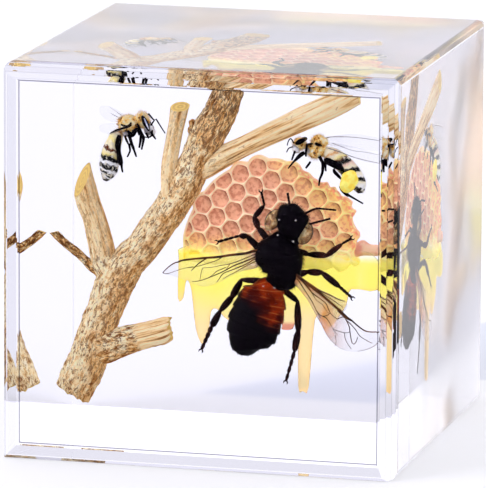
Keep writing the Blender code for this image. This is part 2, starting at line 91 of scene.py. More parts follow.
# %% Wire and Board
class Wire:
    """A node's output that can be used in Python sums."""

    def __init__(self, board, socket):
        self.board, self.socket = board, socket

    def sum(self, operation, first, second):
        return self.board.node("Math", {"operation": operation}, {0: first, 1: second})

    def __add__(self, other):
        return self.sum("ADD", self, other)

    def __radd__(self, other):
        return self.sum("ADD", other, self)

    def __sub__(self, other):
        return self.sum("SUBTRACT", self, other)

    def __rsub__(self, other):
        return self.sum("SUBTRACT", other, self)

    def __mul__(self, other):
        return self.sum("MULTIPLY", self, other)

    def __rmul__(self, other):
        return self.sum("MULTIPLY", other, self)


class Board:
    """A node tree, with one method that adds any node to it."""

    def __init__(self, tree):
        self.tree = tree
        tree.nodes.clear()

    def node(self, kind, settings=None, sockets=None, out=0):
        made = self.tree.nodes.new("ShaderNode" + kind)
        for name, value in (settings or {}).items():
            if name == "stops":
                fill_ramp(made.color_ramp, value)
            else:
                setattr(made, name, value)
        for name, value in (sockets or {}).items():
            if isinstance(value, Wire):
                self.tree.links.new(value.socket, made.inputs[name])
            else:
                made.inputs[name].default_value = value
        return Wire(self, made.outputs[out])

    def band(self, value, low, high):
        """0 below low and 1 above high, with a soft step between."""
        return self.node("MapRange", {"interpolation_type": "SMOOTHSTEP"},
                         {0: value, 1: low, 2: high, 3: 0.0, 4: 1.0})

    def place(self):
        """Where a point lies in the object, in metres."""
        return self.node("TexCoord", None, None, out=3)

    def part(self, vector, axis):
        """One number of a vector: 0, 1 or 2 for X, Y or Z."""
        return self.node("SeparateXYZ", None, {0: vector}, out=axis)

    def carried(self, name, out=2):
        """An attribute of the mesh: out is 2 for a number and 1 for a vector."""
        return self.node("Attribute", {"attribute_name": name}, None, out=out)

    def noise(self, sockets):
        return self.node("TexNoise", None, sockets)

    def bump(self, height, strength, distance):
        return self.node("Bump", None, {"Height": height, "Strength": strength,
                                        "Distance": distance})

    def skin(self, sockets):
        """A plain surface, linked to the material's output."""
        output(self, {"Surface": self.node("BsdfPrincipled", None, sockets)})

    def mix(self, share, first, second):
        """The first colour, going over to the second as share goes to 1."""
        return self.node("Mix", {"data_type": "RGBA"}, {0: share, 6: first, 7: second}, out=2)


def fill_ramp(ramp, stops):
    """Set a ramp's stops, given as (place, colour)."""
    ramp.elements[0].position, ramp.elements[0].color = stops[0]
    ramp.elements[1].position, ramp.elements[1].color = stops[-1]
    for place, colour in stops[1:-1]:
        ramp.elements.new(place).color = colour


def rgb(red, green, blue):
    """A colour as a picture shows it, 0 to 255, turned into the linear one a shader needs."""
    linear = [c / 255 / 12.92 if c <= 10 else ((c / 255 + 0.055) / 1.055) ** 2.4
              for c in (red, green, blue)]
    return (*linear, 1.0)


print("Mid grey is", round(rgb(128, 128, 128)[0], 3), "in linear light")

# %% [markdown]
# ## From a mesh in millimetres to a piece
#
# Every piece ends the same way: it is scaled to metres, its faces are turned
# outwards, it gets its finish, and it rides on the block. The object itself stays
# at the origin, unturned, so its place is in its mesh.

# %% Finish a piece
made = []


def finish(name):
    """A new material, with its board and its output."""
    material = bpy.data.materials.new(name)
    material.use_nodes = True
    return material, Board(material.node_tree)


def output(board, links):
    """Link shaders to the material's output."""
    end = board.tree.nodes.new("ShaderNodeOutputMaterial")
    for name, wire in links.items():
        board.tree.links.new(wire.socket, end.inputs[name])


def piece(name, bm, material, slot, *nodes, smooth=True):
    """Turn a bmesh in millimetres into a finished piece of the model."""
    bmesh.ops.scale(bm, vec=(MM, MM, MM), verts=bm.verts)
    bmesh.ops.recalc_face_normals(bm, faces=bm.faces)
    for face in bm.faces:
        face.smooth = smooth
    mesh = bpy.data.meshes.new(name)
    bm.to_mesh(mesh)
    bm.free()
    mesh.materials.append(material)
    obj = bpy.data.objects.new(name, mesh)
    bpy.context.scene.collection.objects.link(obj)
    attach(obj, "root")
    if nodes:
        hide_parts(*nodes)
    made.append(obj)
    print(f"{name}: {len(mesh.polygons)} faces,",
          "x".join(f"{side / MM:.1f}" for side in obj.dimensions), "mm")
    return obj


def joined(shapes):
    """Several bmeshes as one."""
    whole = bmesh.new()
    for shape in shapes:
        mesh = bpy.data.meshes.new("part")
        shape.to_mesh(mesh)
        shape.free()
        whole.from_mesh(mesh)
        bpy.data.meshes.remove(mesh)
    return whole


# %% [markdown]
# ## Camera
#
# The photograph was taken from far off with a long lens, a little from the right
# and from above, so the cube's edges stay nearly parallel. The camera's place was
# fitted to the corners of the cube.

# %% Camera
camera = bpy.data.objects.new("camera", bpy.data.cameras.new("camera"))
bpy.context.scene.collection.objects.link(camera)
SENSOR = 36.0        # width of the camera's sensor, mm
FOCAL = 6521.6       # the fitted focal length, in pixels of the photograph
PIXELS = 488.0       # the photograph's longer side
camera.data.sensor_width = SENSOR
camera.data.lens = FOCAL * SENSOR / PIXELS
camera.data.clip_start, camera.data.clip_end = 0.01, 30.0
yaw, pitch, roll = math.radians(14.493), math.radians(11.146), math.radians(0.318)
CAMERA_SPOT = (0.16170, -0.62744, 0.14677)
camera.matrix_world = (Matrix.Translation(CAMERA_SPOT)
                       @ Matrix.Rotation(yaw, 4, "Z")
                       @ Matrix.Rotation(math.pi / 2 - pitch, 4, "X")
                       @ Matrix.Rotation(roll, 4, "Z"))
bpy.context.scene.camera = camera
print("Lens", round(camera.data.lens), "mm, distance",
      round((camera.location - Vector((0, 0, 0.02))).length, 2), "m")

# %% [markdown]
# ## Floor and light
#
# Clear resin has no look of its own: it shows what is around it. So the light is
# a wide studio white, brightest from the front left and a little greyer high up
# behind. Four soft patches (key, room, lamp, wall) are placed for what the
# block shows of them. The floor is pale, with one wedge of shade painted on it
# where the block shows it. The block doesn't cast that wedge, and from the side
# its straight edge can be seen.

# %% Floor and light
def studio():
    world = bpy.data.worlds.new("studio")
    bpy.context.scene.world = world
    world.use_nodes = True
    board = Board(world.node_tree)
    way = board.node("TexCoord")
    up = board.part(way, 2)

    def near(direction, edge, core):
        """1 around a direction, 0 away from it. edge and core are half-angles in degrees."""
        share = board.node("VectorMath", {"operation": "DOT_PRODUCT"},
                           {0: way, 1: Vector(direction).normalized()}, out=1)
        return board.band(share, math.cos(math.radians(edge)), math.cos(math.radians(core)))

    key = near((-0.74, -0.60, 0.62), 17, 9)
    room = near((0.25, -1.0, 0.50), 30, 16)
    lamp = near((-0.20, 0.70, 0.68), 34, 14)
    wall = near((-0.25, 0.95, 0.25), 60, 30)
    high = board.band(up, 0.15, 0.75)
    colour = board.mix(board.node("Clamp", None, {0: high * 0.8 + wall * 0.25}),
                       rgb(255, 255, 255), rgb(224, 222, 238))
    sky = board.node("Background", None, {
        "Color": colour, "Strength": 1.78 + key * 14.0 + lamp * 0.8 - room * 0.9 - wall * 0.40})
    end = board.tree.nodes.new("ShaderNodeOutputWorld")
    board.tree.links.new(sky.socket, end.inputs["Surface"])


def floor():
    bm = bmesh.new()
    bmesh.ops.create_grid(bm, x_segments=8, y_segments=8, size=6.0,
                          matrix=Matrix.Translation((0, 0, -0.00002)))
    mesh = bpy.data.meshes.new("floor")
    bm.to_mesh(mesh)
    bm.free()
    obj = bpy.data.objects.new("floor", mesh)
    bpy.context.scene.collection.objects.link(obj)
    material, board = finish("white_floor")
    speck = board.noise({"Scale": 40.0})
    place = board.place()
    x = board.part(place, 0) * PER_METRE
    y = board.part(place, 1) * PER_METRE
    # The painted wedge of shade behind the block.
    shade = (board.band((x + 10.2) * 1.386 - (y - 29.0), 0.0, 3.0) * board.band(y, 28.4, 29.8)
             * (1 - board.band(x, 16.0, 26.0)))
    paper = board.mix(speck, rgb(146, 146, 149), rgb(150, 150, 152))
    board.skin({
        "Base Color": board.mix(shade, paper, rgb(134, 136, 142)),
        "Emission Color": board.mix(shade, rgb(255, 255, 255), rgb(232, 235, 245)),
        "Emission Strength": 0.52,
        "Roughness": 0.9, "Specular IOR Level": 0.1})
    mesh.materials.append(material)


studio()
floor()
bpy.context.scene.view_settings.view_transform = "Standard"
bpy.context.scene.cycles.max_bounces = 32
bpy.context.scene.cycles.transmission_bounces = 32
print("Studio and floor are in")

# %% [markdown]
# ## The resin block
#
# The real block is cast, sawn and polished, and its edges are eased with narrow
# flats. Those flats bend the light in bands, which is why the cube's edges look
# striped. So this block is made the way a workshop does it: a cube is sawn, and
# narrow flats are shaved off each edge: five at the near edges, three at the
# other edges of the front, two at the rest, and one hair-thin flat where an edge
# is hidden. The finish is transmission with the resin's refraction, a violet tint
# that grows with the depth of resin, and a slight swell in the polish.
#
# Some values are set for the look and aren't the real resin's: its own surface
# reflections are almost off, the top is wavy and has painted lavender-grey shade,
# the flats have painted grey shade, and the ground back face blurs what it mirrors.

# %% Resin
# An edge is (axis, side, axis, side), with axes 0 to 2 for X to Z.
HIDDEN_EDGES = ((0, -1, 1, 1), (1, 1, 2, -1), (0, -1, 2, -1))
NEAR_EDGES = ((1, -1, 2, 1), (0, 1, 1, -1))
POLISH = 0.12        # width of the hair-thin roundings between the flats
RESIN_BEND = 1.5     # the resin's index of refraction
TOP_SOFT = 0.05      # roughness of the top face
GROUND = 0.22        # roughness of the ground back face
# An edge's section: the insets from its corner at each turn, first on the front face and
# then on the other, how much painted grey shade each flat has, and how much each rounding has.
NEAR_EDGE = (((1.65, 0.0), (1.45, 0.03), (0.90, 0.45), (0.42, 1.02), (0.13, 1.55), (0.0, 2.0)),
             (0.0, 0.12, 0.22, 0.08, 0.2), (1.0, 0.3, 0.4, 0.4, 0.5, 0.5))
FAR_EDGE = (((1.8, 0.0), (1.55, 0.01), (0.42, 0.25), (0.0, 0.7)), (0.0, 0.34, 0.5),
            (1.0, 0.0, 0.0, 0.8))
FLOOR_EDGE = (FAR_EDGE[0], (0.22, 0.62, 0.80), (1.0, 0.3, 0.3, 0.9))
SIDE_EDGE = (((0.7, 0.0), (0.2, 0.2), (0.0, 0.7)), (0.25, 0.25), (0.8, 0.0, 0.8))
HIDDEN_EDGE = (((0.04, 0.0), (0.0, 0.04)), (0.25,), ())


def resin_finish():
    material, board = finish("clear_resin")
    place = board.place()
    swell = board.noise({"Vector": place, "Scale": 55.0, "Detail": 1.0})
    top = board.band(board.part(place, 2), 0.0398, 0.03995)
    back = board.band(board.part(place, 1), 0.0199, 0.01998)
    waves = board.node("Bump", None, {"Height": swell * (0.05 + top * 0.95),
                                      "Strength": 0.25, "Distance": 0.001})
    # The flats' and roundings' greys are painted shade.
    line = board.carried("crease")
    # The top's lavender grey is painted shade.
    shader = board.node("BsdfPrincipled", None, {
        "Base Color": board.mix(line, board.mix(top, rgb(253, 253, 255), rgb(204, 203, 222)),
                                rgb(96, 94, 110)),
        "Roughness": top * TOP_SOFT + back * GROUND, "IOR": RESIN_BEND,
        "Specular Tint": (0.03, 0.03, 0.03, 1.0), "Transmission Weight": 1.0,
        "Normal": waves})
    tint = board.node("VolumeAbsorption", None, {"Color": (0.62, 0.60, 0.88, 1.0),
                                                 "Density": 4.0})
    output(board, {"Surface": shader, "Volume": tint})
    return material


def shave(bm, corner, normal):
    """Saw a flat off the block: everything outside a plane is cut away and closed."""
    cut = bmesh.ops.bisect_plane(bm, geom=bm.verts[:] + bm.edges[:] + bm.faces[:],
                                 plane_co=corner, plane_no=normal, clear_outer=True, dist=1e-6)
    rim = [edge for edge in cut["geom_cut"] if isinstance(edge, bmesh.types.BMEdge)]
    return bmesh.ops.edgenet_fill(bm, edges=rim)["faces"]


def shave_at(bm, corner, first, second, inset, way, crease, value):
    """Shave a flat along an edge. inset and way are given along the edge's two axes."""
    spot, normal = corner.copy(), Vector((0, 0, 0))
    spot[first] -= inset[0]
    spot[second] -= inset[1]
    normal[first], normal[second] = way
    for face in shave(bm, spot, normal):
        face[crease] = value


def resin_block():
    bm = bmesh.new()
    crease = bm.faces.layers.float.new("crease")
    half = EDGE / 2
    bmesh.ops.create_cube(bm, size=EDGE, matrix=Matrix.Translation((0, 0, half)))
    for first, second in ((0, 1), (0, 2), (1, 2)):
        for a in (-1, 1):
            for b in (-1, 1):
                here = Vector((0, 0, half))
                here[first] += a * half
                here[second] += b * half
                edge = (first, a, second, b)
                run, greys, lines = SIDE_EDGE
                if edge in HIDDEN_EDGES:
                    run, greys, lines = HIDDEN_EDGE
                elif edge in NEAR_EDGES:
                    run, greys, lines = NEAR_EDGE
                elif edge == (1, -1, 2, -1):
                    run, greys, lines = FLOOR_EDGE
                elif (1, -1) in (edge[:2], edge[2:]):
                    run, greys, lines = FAR_EDGE
                if (second, b) == (1, -1):
                    run, greys, lines = [(q, p) for p, q in run[::-1]], greys[::-1], lines[::-1]
                ways = [Vector((a, 0.0))]
                for (p0, q0), (p1, q1), grey in zip(run, run[1:], greys):
                    ways.append(Vector((a * (p0 - p1), b * (q1 - q0))).normalized())
                    shave_at(bm, here, first, second, (a * q0, b * p0), ways[-1], crease, grey)
                # Where two flats meet, polishing leaves a hair-thin rounding.
                ways.append(Vector((0.0, b)))
                for (p, q), before, after, grey in zip(run, ways, ways[1:], lines):
                    depth = POLISH / 2 * math.tan(before.angle(after) / 2)
                    way = (before + after).normalized()
                    shave_at(bm, here, first, second, (a * q + way.x * depth,
                                                       b * p + way.y * depth), way, crease, grey)
    return piece("resin_block", bm, resin_finish(), "clear_resin", "resin_front",
                 "resin_back", smooth=False)


resin_block()

# %% [markdown]
# ## Round things along a run
#
# A limb of the branch, a leg, a vein and a feeler are all the same idea: a flat
# grid that is wrapped round a run of stations. Two attributes go with each one.
# `grain` is the place on the limb as if it were straight, so that bark and wood
# grain follow the bends, and `cut` is 1 on the closed ends.

# %% Wrap a grid round a run
def smooth_run(stations, steps):
    """More stations along the same run, by Catmull-Rom interpolation."""
    out = []
    last = len(stations) - 1
    for i in range(last):
        p0, p1 = stations[max(i - 1, 0)], stations[i]
        p2, p3 = stations[i + 1], stations[min(i + 2, last)]
        for k in range(steps):
            t = k / steps
            out.append(tuple(0.5 * (2 * b + (c - a) * t + (2 * a - 5 * b + 4 * c - d) * t * t
                                    + (3 * b - a - 3 * c + d) * t ** 3)
                             for a, b, c, d in zip(p0, p1, p2, p3)))
    out.append(tuple(stations[last]))
    return out


def ease(t):
    """0 to 1 with soft ends."""
    t = max(0.0, min(1.0, t))
    return t * t * (3 - 2 * t)


def wrapped(run, sides, step=0.25, flat=1.0, slants=(0.0, 0.0), tips=(0.0, 0.0), relief=None,
            ragged=0.0, bare=None):
    """A closed tube of stations (x, y, z, radius). Its ends can be slanted, tipped or ragged."""
    places = [Vector(station[:3]) for station in run]
    marks = [0.0]
    for a, b in zip(places, places[1:]):
        marks.append(marks[-1] + (b - a).length)
    length = marks[-1]

    def at(s):
        s = min(max(s, 0.0), length)
        k = min(bisect_right(marks, s) - 1, len(marks) - 2)
        t = (s - marks[k]) / (marks[k + 1] - marks[k])
        return places[k].lerp(places[k + 1], t), run[k][3] * (1 - t) + run[k + 1][3] * t

    caps = (0.0, 0.35, 0.7, 0.94)
    count = max(2, round(length / step))
    rows = ([(0.0, fill) for fill in caps] + [(length * i / count, 1.0) for i in range(count + 1)]
            + [(length, fill) for fill in reversed(caps)])
    frames = []
    for s, fill in rows:
        here, radius = at(s)
        ahead = (at(s + 0.4)[0] - at(s - 0.4)[0]).normalized()
        side = ahead.cross(Vector((0, 1, 0))).normalized()
        near, far = ease(1 - s / 2.5), ease(1 - (length - s) / 2.5)
        lean = slants[0] * near + slants[1] * far
        nod = tips[0] * near + tips[1] * far
        frames.append((here, radius, ahead, side, side.cross(ahead), lean, nod, s, fill))
    mean = sum(station[3] for station in run) / len(run)
    bm = bmesh.new()
    bmesh.ops.create_grid(bm, x_segments=sides, y_segments=len(rows) - 1, size=0.5)
    grain = bm.verts.layers.float_vector.new("grain")
    cut = bm.verts.layers.float.new("cut")
    bald = bm.verts.layers.float.new("bare")
    span = bm.verts.layers.float.new("along")
    for v in bm.verts:
        turn = 2 * math.pi * round((v.co.x + 0.5) * sides) / sides
        row = round((v.co.y + 0.5) * (len(rows) - 1))
        here, radius, ahead, side, deep, lean, nod, s, fill = frames[row]
        c, d = math.cos(turn), math.sin(turn)
        thick = radius + (relief(c, d, s, radius) if relief else 0.0)
        v[grain] = (mean * fill * c, mean * fill * d, s)
        v[cut] = 1.0 if fill < 1.0 else 0.0
        v[bald] = bare(s / length) if bare else 0.0
        v[span] = s / length
        tear = 0.0
        if ragged and (s < 0.6 or s > length - 0.6):
            tear = ragged * noise.noise(Vector((c * fill * 3, d * fill * 3, s)))
        v.co = (here + (side * c + deep * (d * flat)) * (thick * fill)
                + ahead * ((lean * c + nod * d) * fill + tear))
    bmesh.ops.remove_doubles(bm, verts=bm.verts, dist=1e-5)
    return bm


# %% [markdown]
# ## The branch
#
# A branch grows in limbs, each thinner than the one it leaves, so the trunk and
# each limb are pieces of their own that run into one another at the forks. The
# bark is scaly: fine ridges along the limb stand out of the mesh, and the finish
# adds cream, orange and dark brown flecks that are drawn out along the grain.
# Where the bark is off, pale wood with long dark grain lines shows, and a sawn
# end is yellower. `bare` says how much bark is off, and below zero it darkens the
# bark. A weak emission lifts the brightness here, and in the comb, the honey and the
# pollen. It stands for nothing in the real block.

# %% Branch finish
def branch_finish():
    material, board = finish("branch")
    grain = board.carried("grain", 1)
    cut = board.carried("cut")
    bare = board.carried("bare")
    long = board.node("Mapping", None, {"Vector": grain, "Scale": (1.0, 1.0, 0.44)})
    z = board.part(board.place(), 2)
    # The bark is darker towards the top, and wherever `bare` is below zero.
    high = board.band(z * PER_METRE, 27.0, 34.0) + board.band(bare * -1.0, 0.1, 0.9)
    streak = board.node("Mapping", None, {"Vector": grain, "Scale": (1.0, 1.0, 0.07)})

    fleck = board.noise({"Vector": long, "Scale": 2.6, "Detail": 5.0,
                                          "Roughness": 0.75})
    warm = board.noise({"Vector": grain, "Scale": 0.5, "Detail": 3.0})
    dash = board.noise({"Vector": long, "Scale": 3.3, "Detail": 3.0,
                                         "Roughness": 0.75, "Distortion": 1.0})
    scales = board.node("TexVoronoi", {"feature": "DISTANCE_TO_EDGE"},
                        {"Vector": long, "Scale": 1.5, "Randomness": 1.0})
    # One side of each limb is painted paler than the other, as a highlight.
    across = board.part(grain, 0)
    light = board.node("ValToRGB", {"stops": (
        (0.33, rgb(176, 112, 54)), (0.41, rgb(228, 178, 114)), (0.47, rgb(252, 226, 172)),
        (0.54, rgb(255, 238, 190)), (0.66, rgb(255, 246, 214)))}, {0: fleck})
    ruddy = board.node("ValToRGB", {"stops": (
        (0.36, rgb(104, 50, 16)), (0.43, rgb(192, 124, 58)), (0.50, rgb(232, 178, 106)),
        (0.57, rgb(252, 214, 150)), (0.66, rgb(255, 236, 192)))}, {0: fleck})
    bark = board.mix(board.band(warm + high * 0.25 - across * 0.20, 0.40, 0.68), light, ruddy)
    dark = (board.band(dash + high * 0.05, 0.50, 0.60) * 0.9
            + (1 - board.band(scales, 0.0, 0.05)) * 0.15)
    bark = board.mix(dark, bark, board.mix(high, rgb(128, 72, 30), rgb(84, 36, 12)))

    lines = board.noise({"Vector": streak, "Scale": 3.0, "Detail": 5.0,
                                          "Roughness": 0.6, "Distortion": 0.2})
    wood = board.node("ValToRGB", {"stops": (
        (0.33, rgb(128, 80, 38)), (0.40, rgb(214, 160, 96)), (0.47, rgb(246, 210, 148)),
        (0.60, rgb(255, 236, 190)), (0.74, rgb(252, 224, 164)))}, {0: lines})
    wood = board.mix(board.band(dash, 0.60, 0.68) * 0.55, wood, rgb(150, 98, 58))
    rings = board.node("TexWave", {"wave_type": "RINGS", "rings_direction": "Z"},
                       {"Vector": grain, "Scale": 0.9, "Distortion": 2.2, "Detail": 2.0})
    sawn = board.mix(rings * 0.6, rgb(246, 212, 122), rgb(206, 160, 92))
    colour = board.mix(bare, bark, wood)
    colour = board.mix(cut, colour, sawn)

    height = ((fleck * 0.6 + board.band(scales, 0.0, 0.12) * 0.5 - dark * 0.4) * (1 - bare)
              + lines * 0.7 * bare)
    relief = board.bump(height, 0.7, 0.00022)
    board.skin({
        "Base Color": colour, "Roughness": 0.85 - bare * 0.2, "Specular IOR Level": 0.05,
        "Emission Color": colour, "Emission Strength": 0.09, "Normal": relief})
    return material


wood = branch_finish()
print("Branch finish has", len(wood.node_tree.nodes), "nodes")

# %% Branch limbs
# Runs of (x, z, radius) up each limb, from its root to its tip.
TRUNK = ((-17.43, 3.39, 1.84), (-16.72, 4.86, 1.96), (-16.07, 6.21, 2.0), (-15.22, 9.0, 1.88),
         (-13.96, 12.37, 1.76), (-13.1, 14.8, 1.95), (-11.5, 17.4, 1.75), (-10.2, 18.8, 1.65),
         (-8.4, 21.3, 1.7), (-7.1, 23.2, 1.7), (-5.6, 25.8, 1.75), (-3.91, 29.39, 1.66),
         (-3.34, 30.71, 1.75), (-2.38, 32.38, 1.66), (-1.8, 33.58, 1.59), (-1.23, 35.18, 1.49),
         (-0.55, 37.4, 1.42))
ARM = ((-4.6, 27.0, 1.2), (-3.3, 27.7, 1.25), (-1.0, 29.0, 1.1), (1.1, 30.1, 1.05),
       (5.2, 32.2, 1.15), (9.2, 34.2, 1.2), (12.2, 35.8, 1.1))
UPRIGHT = ((-7.07, 23.18, 0.57), (-7.13, 23.59, 0.67), (-7.29, 24.4, 0.73), (-7.28, 26.04, 0.78),
           (-7.16, 27.89, 0.78), (-6.73, 30.63, 0.77), (-6.48, 31.81, 0.80), (-6.22, 33.15, 0.91),
           (-6.13, 33.56, 0.94))
LEFT_STUB = ((-12.9, 15.0, 1.5), (-13.6, 16.2, 1.36), (-14.11, 17.15, 1.32),
             (-14.43, 18.88, 1.34), (-15.21, 21.78, 1.22), (-15.77, 23.19, 1.27),
             (-16.16, 24.51, 1.24), (-16.41, 25.48, 1.22))
RIGHT_STUB = ((-14.7, 8.43, 1.83), (-13.65, 8.59, 1.73), (-11.76, 9.22, 1.47),
              (-10.5, 9.6, 1.35), (-9.19, 10.0, 1.34), (-8.14, 10.3, 1.35), (-7.56, 10.52, 1.27),
              (-7.14, 10.7, 1.14))
TWIG = ((-14.0, 15.5, 0.52), (-14.84, 16.28, 0.49), (-15.27, 16.51, 0.48), (-16.11, 17.24, 0.45),
        (-16.95, 17.97, 0.42), (-18.43, 19.08, 0.40), (-19.38, 19.96, 0.40))


def ridges(seed, depth, long=0.55):
    """Bark ridges that run along the limb, as a change of its radius."""
    def relief(c, d, s, radius):
        here = Vector((c * radius, d * radius, s * long))
        lump = noise.noise(here * 0.5 + Vector((seed, 0, 0)))
        ridge = 1 - abs(noise.noise(here * 1.5 + Vector((0, seed, 0)))) * 2
        fine = noise.noise(here * 3.6 + Vector((0, 0, seed)))
        return depth * (0.9 * lump + 0.45 * ridge + 0.35 * fine)
    return relief


def limb(name, run, depth, node, **look):
    stations = smooth_run([(x, depth, z, r) for x, z, r in run], 5)
    return piece(name, wrapped(stations, flat=FLAT, **look), wood, "bark", node)


limb("trunk", TRUNK, LAYER_Y, "branch_trunk", sides=96, step=0.16, slants=(0.05, 0.0),
     relief=ridges(1.0, 0.20), ragged=0.3, bare=lambda t: 0.12)
limb("arm", ARM, LAYER_Y, "branch_arm", sides=56, step=0.2, slants=(0.0, 0.35),
     relief=ridges(5.0, 0.10, 0.12), bare=lambda t: 0.55 + 0.45 * ease((t - 0.1) * 5))
limb("upright_shoot", UPRIGHT, LAYER_Y - 0.45, "branch_upright", sides=48, step=0.2,
     slants=(0.0, -0.25), tips=(0.0, 0.45), relief=ridges(9.0, 0.08, 0.15),
     bare=lambda t: 0.66 + 0.34 * ease((0.25 - t) * 6))
limb("left_stub", LEFT_STUB, LAYER_Y, "branch_left_stub", sides=56, step=0.2,
     slants=(0.0, -1.3), tips=(0.0, 0.9), relief=ridges(13.0, 0.11, 0.2),
     bare=lambda t: 0.58 * ease((t - 0.15) * 4))
limb("right_stub", RIGHT_STUB, LAYER_Y - 0.1, "branch_right_stub", sides=56, step=0.16,
     slants=(0.0, 0.3), relief=ridges(17.0, 0.15), ragged=0.45,
     bare=lambda t: ease((t - 0.52) * 16))
limb("twig", TWIG, LAYER_Y, "branch_twig", sides=36, step=0.2, slants=(0.0, 0.25),
     relief=ridges(21.0, 0.10), bare=lambda t: -0.7)

# %% [markdown]
# A small bud stands on the trunk near its top. It is a sphere, pulled out of
# round in a few lobes, in the same bark.

# %% Bud
def settled(bm):
    """The same shape with its points and faces in one fixed order.

    Blender's sphere keeps no order from run to run, and hair grows by face order.
    """
    def mark(point):
        return tuple(round(c, 4) for c in point)

    fixed = bmesh.new()
    spots = {spot: fixed.verts.new(spot) for spot in sorted({mark(v.co) for v in bm.verts})}
    turns = []
    for face in bm.faces:
        run = [mark(v.co) for v in face.verts]
        first = run.index(min(run))
        turns.append(run[first:] + run[:first])
    for run in sorted(turns):
        fixed.faces.new([spots[spot] for spot in run])
    bm.free()
    return fixed


def ball(x, y, z, rx, ry, rz, turn=0.0, segments=32, rings=20):
    """An ellipsoid with its own X axis turned in the front view, degrees."""
    bm = bmesh.new()
    place = (Matrix.Translation((x, y, z)) @ Matrix.Rotation(math.radians(-turn), 4, "Y")
             @ Matrix.Diagonal((rx, ry, rz, 1.0)))
    bmesh.ops.create_uvsphere(bm, u_segments=segments, v_segments=rings, radius=1.0,
                              matrix=place)
    return settled(bm)


def roughened(bm, centre, depth, scale, seed=0.0):
    """Push a mesh's points in and out from its centre by noise."""
    middle = Vector(centre)
    for v in bm.verts:
        away = (v.co - middle).normalized()
        v.co += away * (depth * noise.noise(v.co * scale + Vector((seed, 0, 0))))
    return bm


def bud():
    lobes = []
    for x, z, r in ((-4.75, 31.5, 0.50), (-5.1, 31.15, 0.38), (-4.95, 31.95, 0.36)):
        lobes.append(roughened(ball(x, LAYER_Y, z, r, r * 0.8, r), (x, LAYER_Y, z), 0.16, 2.2))
    bm = joined(lobes)
    grain = bm.verts.layers.float_vector.new("grain")
    for v in bm.verts:
        v[grain] = v.co
    return piece("bud", bm, wood, "bark", "branch_trunk")


bud()

# %% [markdown]
# ## A sheet cut to an outline
#
# The comb, the honey and the wings are flat things with a drawn outline. Each
# starts as a fine grid in the front view. Faces outside the outline are deleted,
# the new rim is drawn onto the outline, and then the depth of every point can be
# set by a rule.

# %% Cut a grid to an outline
def rim_of(outline):
    """A function that gives (inside, distance, nearest point) for a point of the front view."""
    sides = []
    for (ax, az), (bx, bz) in zip(outline, outline[1:] + outline[:1]):
        long = (bx - ax) ** 2 + (bz - az) ** 2
        if long > 0:
            sides.append((ax, az, bx - ax, bz - az, long))

    def look(x, z):
        best, nearest, within = 1e9, None, False
        for ax, az, wx, wz, long in sides:
            t = ((x - ax) * wx + (z - az) * wz) / long
            t = 0.0 if t < 0.0 else 1.0 if t > 1.0 else t
            px, pz = ax + wx * t, az + wz * t
            gap = (x - px) ** 2 + (z - pz) ** 2
            if gap < best:
                best, nearest = gap, (px, pz)
            if (az > z) != (az + wz > z) and x < ax + (z - az) / wz * wx:
                within = not within
        return within, math.sqrt(best), Vector(nearest)
    return look


def cut_grid(outline, spacing):
    """A flat grid at y = 0 cut to an outline, and the rule that measures from its rim."""
    look = rim_of(outline)
    xs, zs = [p[0] for p in outline], [p[1] for p in outline]
    wide, tall = max(xs) - min(xs), max(zs) - min(zs)
    place = (Matrix.Translation(((max(xs) + min(xs)) / 2, 0, (max(zs) + min(zs)) / 2))
             @ Matrix.Rotation(math.pi / 2, 4, "X") @ Matrix.Diagonal((wide, tall, 1, 1)))
    bm = bmesh.new()
    bmesh.ops.create_grid(bm, x_segments=round(wide / spacing), y_segments=round(tall / spacing),
                          size=0.5, matrix=place)
    outside = []
    for face in bm.faces:
        middle = face.calc_center_median()
        if not look(middle.x, middle.z)[0]:
            outside.append(face)
    bmesh.ops.delete(bm, geom=outside, context="FACES")
    for v in bm.verts:
        if v.is_boundary:
            spot = look(v.co.x, v.co.z)[2]
            v.co.x, v.co.z = spot.x, spot.y
    return bm, look


def pillow(outline, spacing, middle, half):
    """A closed sheet whose two sides meet at its rim. middle and half give its depth."""
    bm, look = cut_grid(outline, spacing)
    edge = bm.verts.layers.float.new("rim")
    for v in bm.verts:
        v[edge] = 0.0 if v.is_boundary else look(v.co.x, v.co.z)[1]
    copy = bmesh.ops.duplicate(bm, geom=bm.verts[:] + bm.edges[:] + bm.faces[:])["geom"]
    back = {v for v in copy if isinstance(v, bmesh.types.BMVert)}
    for v in bm.verts:
        side = 1.0 if v in back else -1.0
        v.co.y = middle(v.co.x, v.co.z) + side * half(v.co.x, v.co.z, v[edge])
    bmesh.ops.reverse_faces(bm, faces=[f for f in copy if isinstance(f, bmesh.types.BMFace)])
    bmesh.ops.remove_doubles(bm, verts=bm.verts, dist=1e-4)
    return bm


# %% [markdown]
# ## The honeycomb
#
# Bees build comb as a sheet of six-sided wax cells. Seen from the front, each
# cell is a round hollow with a thick, pale rim, in straight rows. The comb here
# bulges a little towards the viewer. So one fine grid, cut to an outline that runs
# round the outer cells and is torn at the right, gets a dome and a hollow at each
# cell centre. The hollows fade out near the honey. The grid keeps how deep each
# point lies in its cell, for the finish to colour: peach rims, rose-brown
# hollows, and yellow where honey has run.

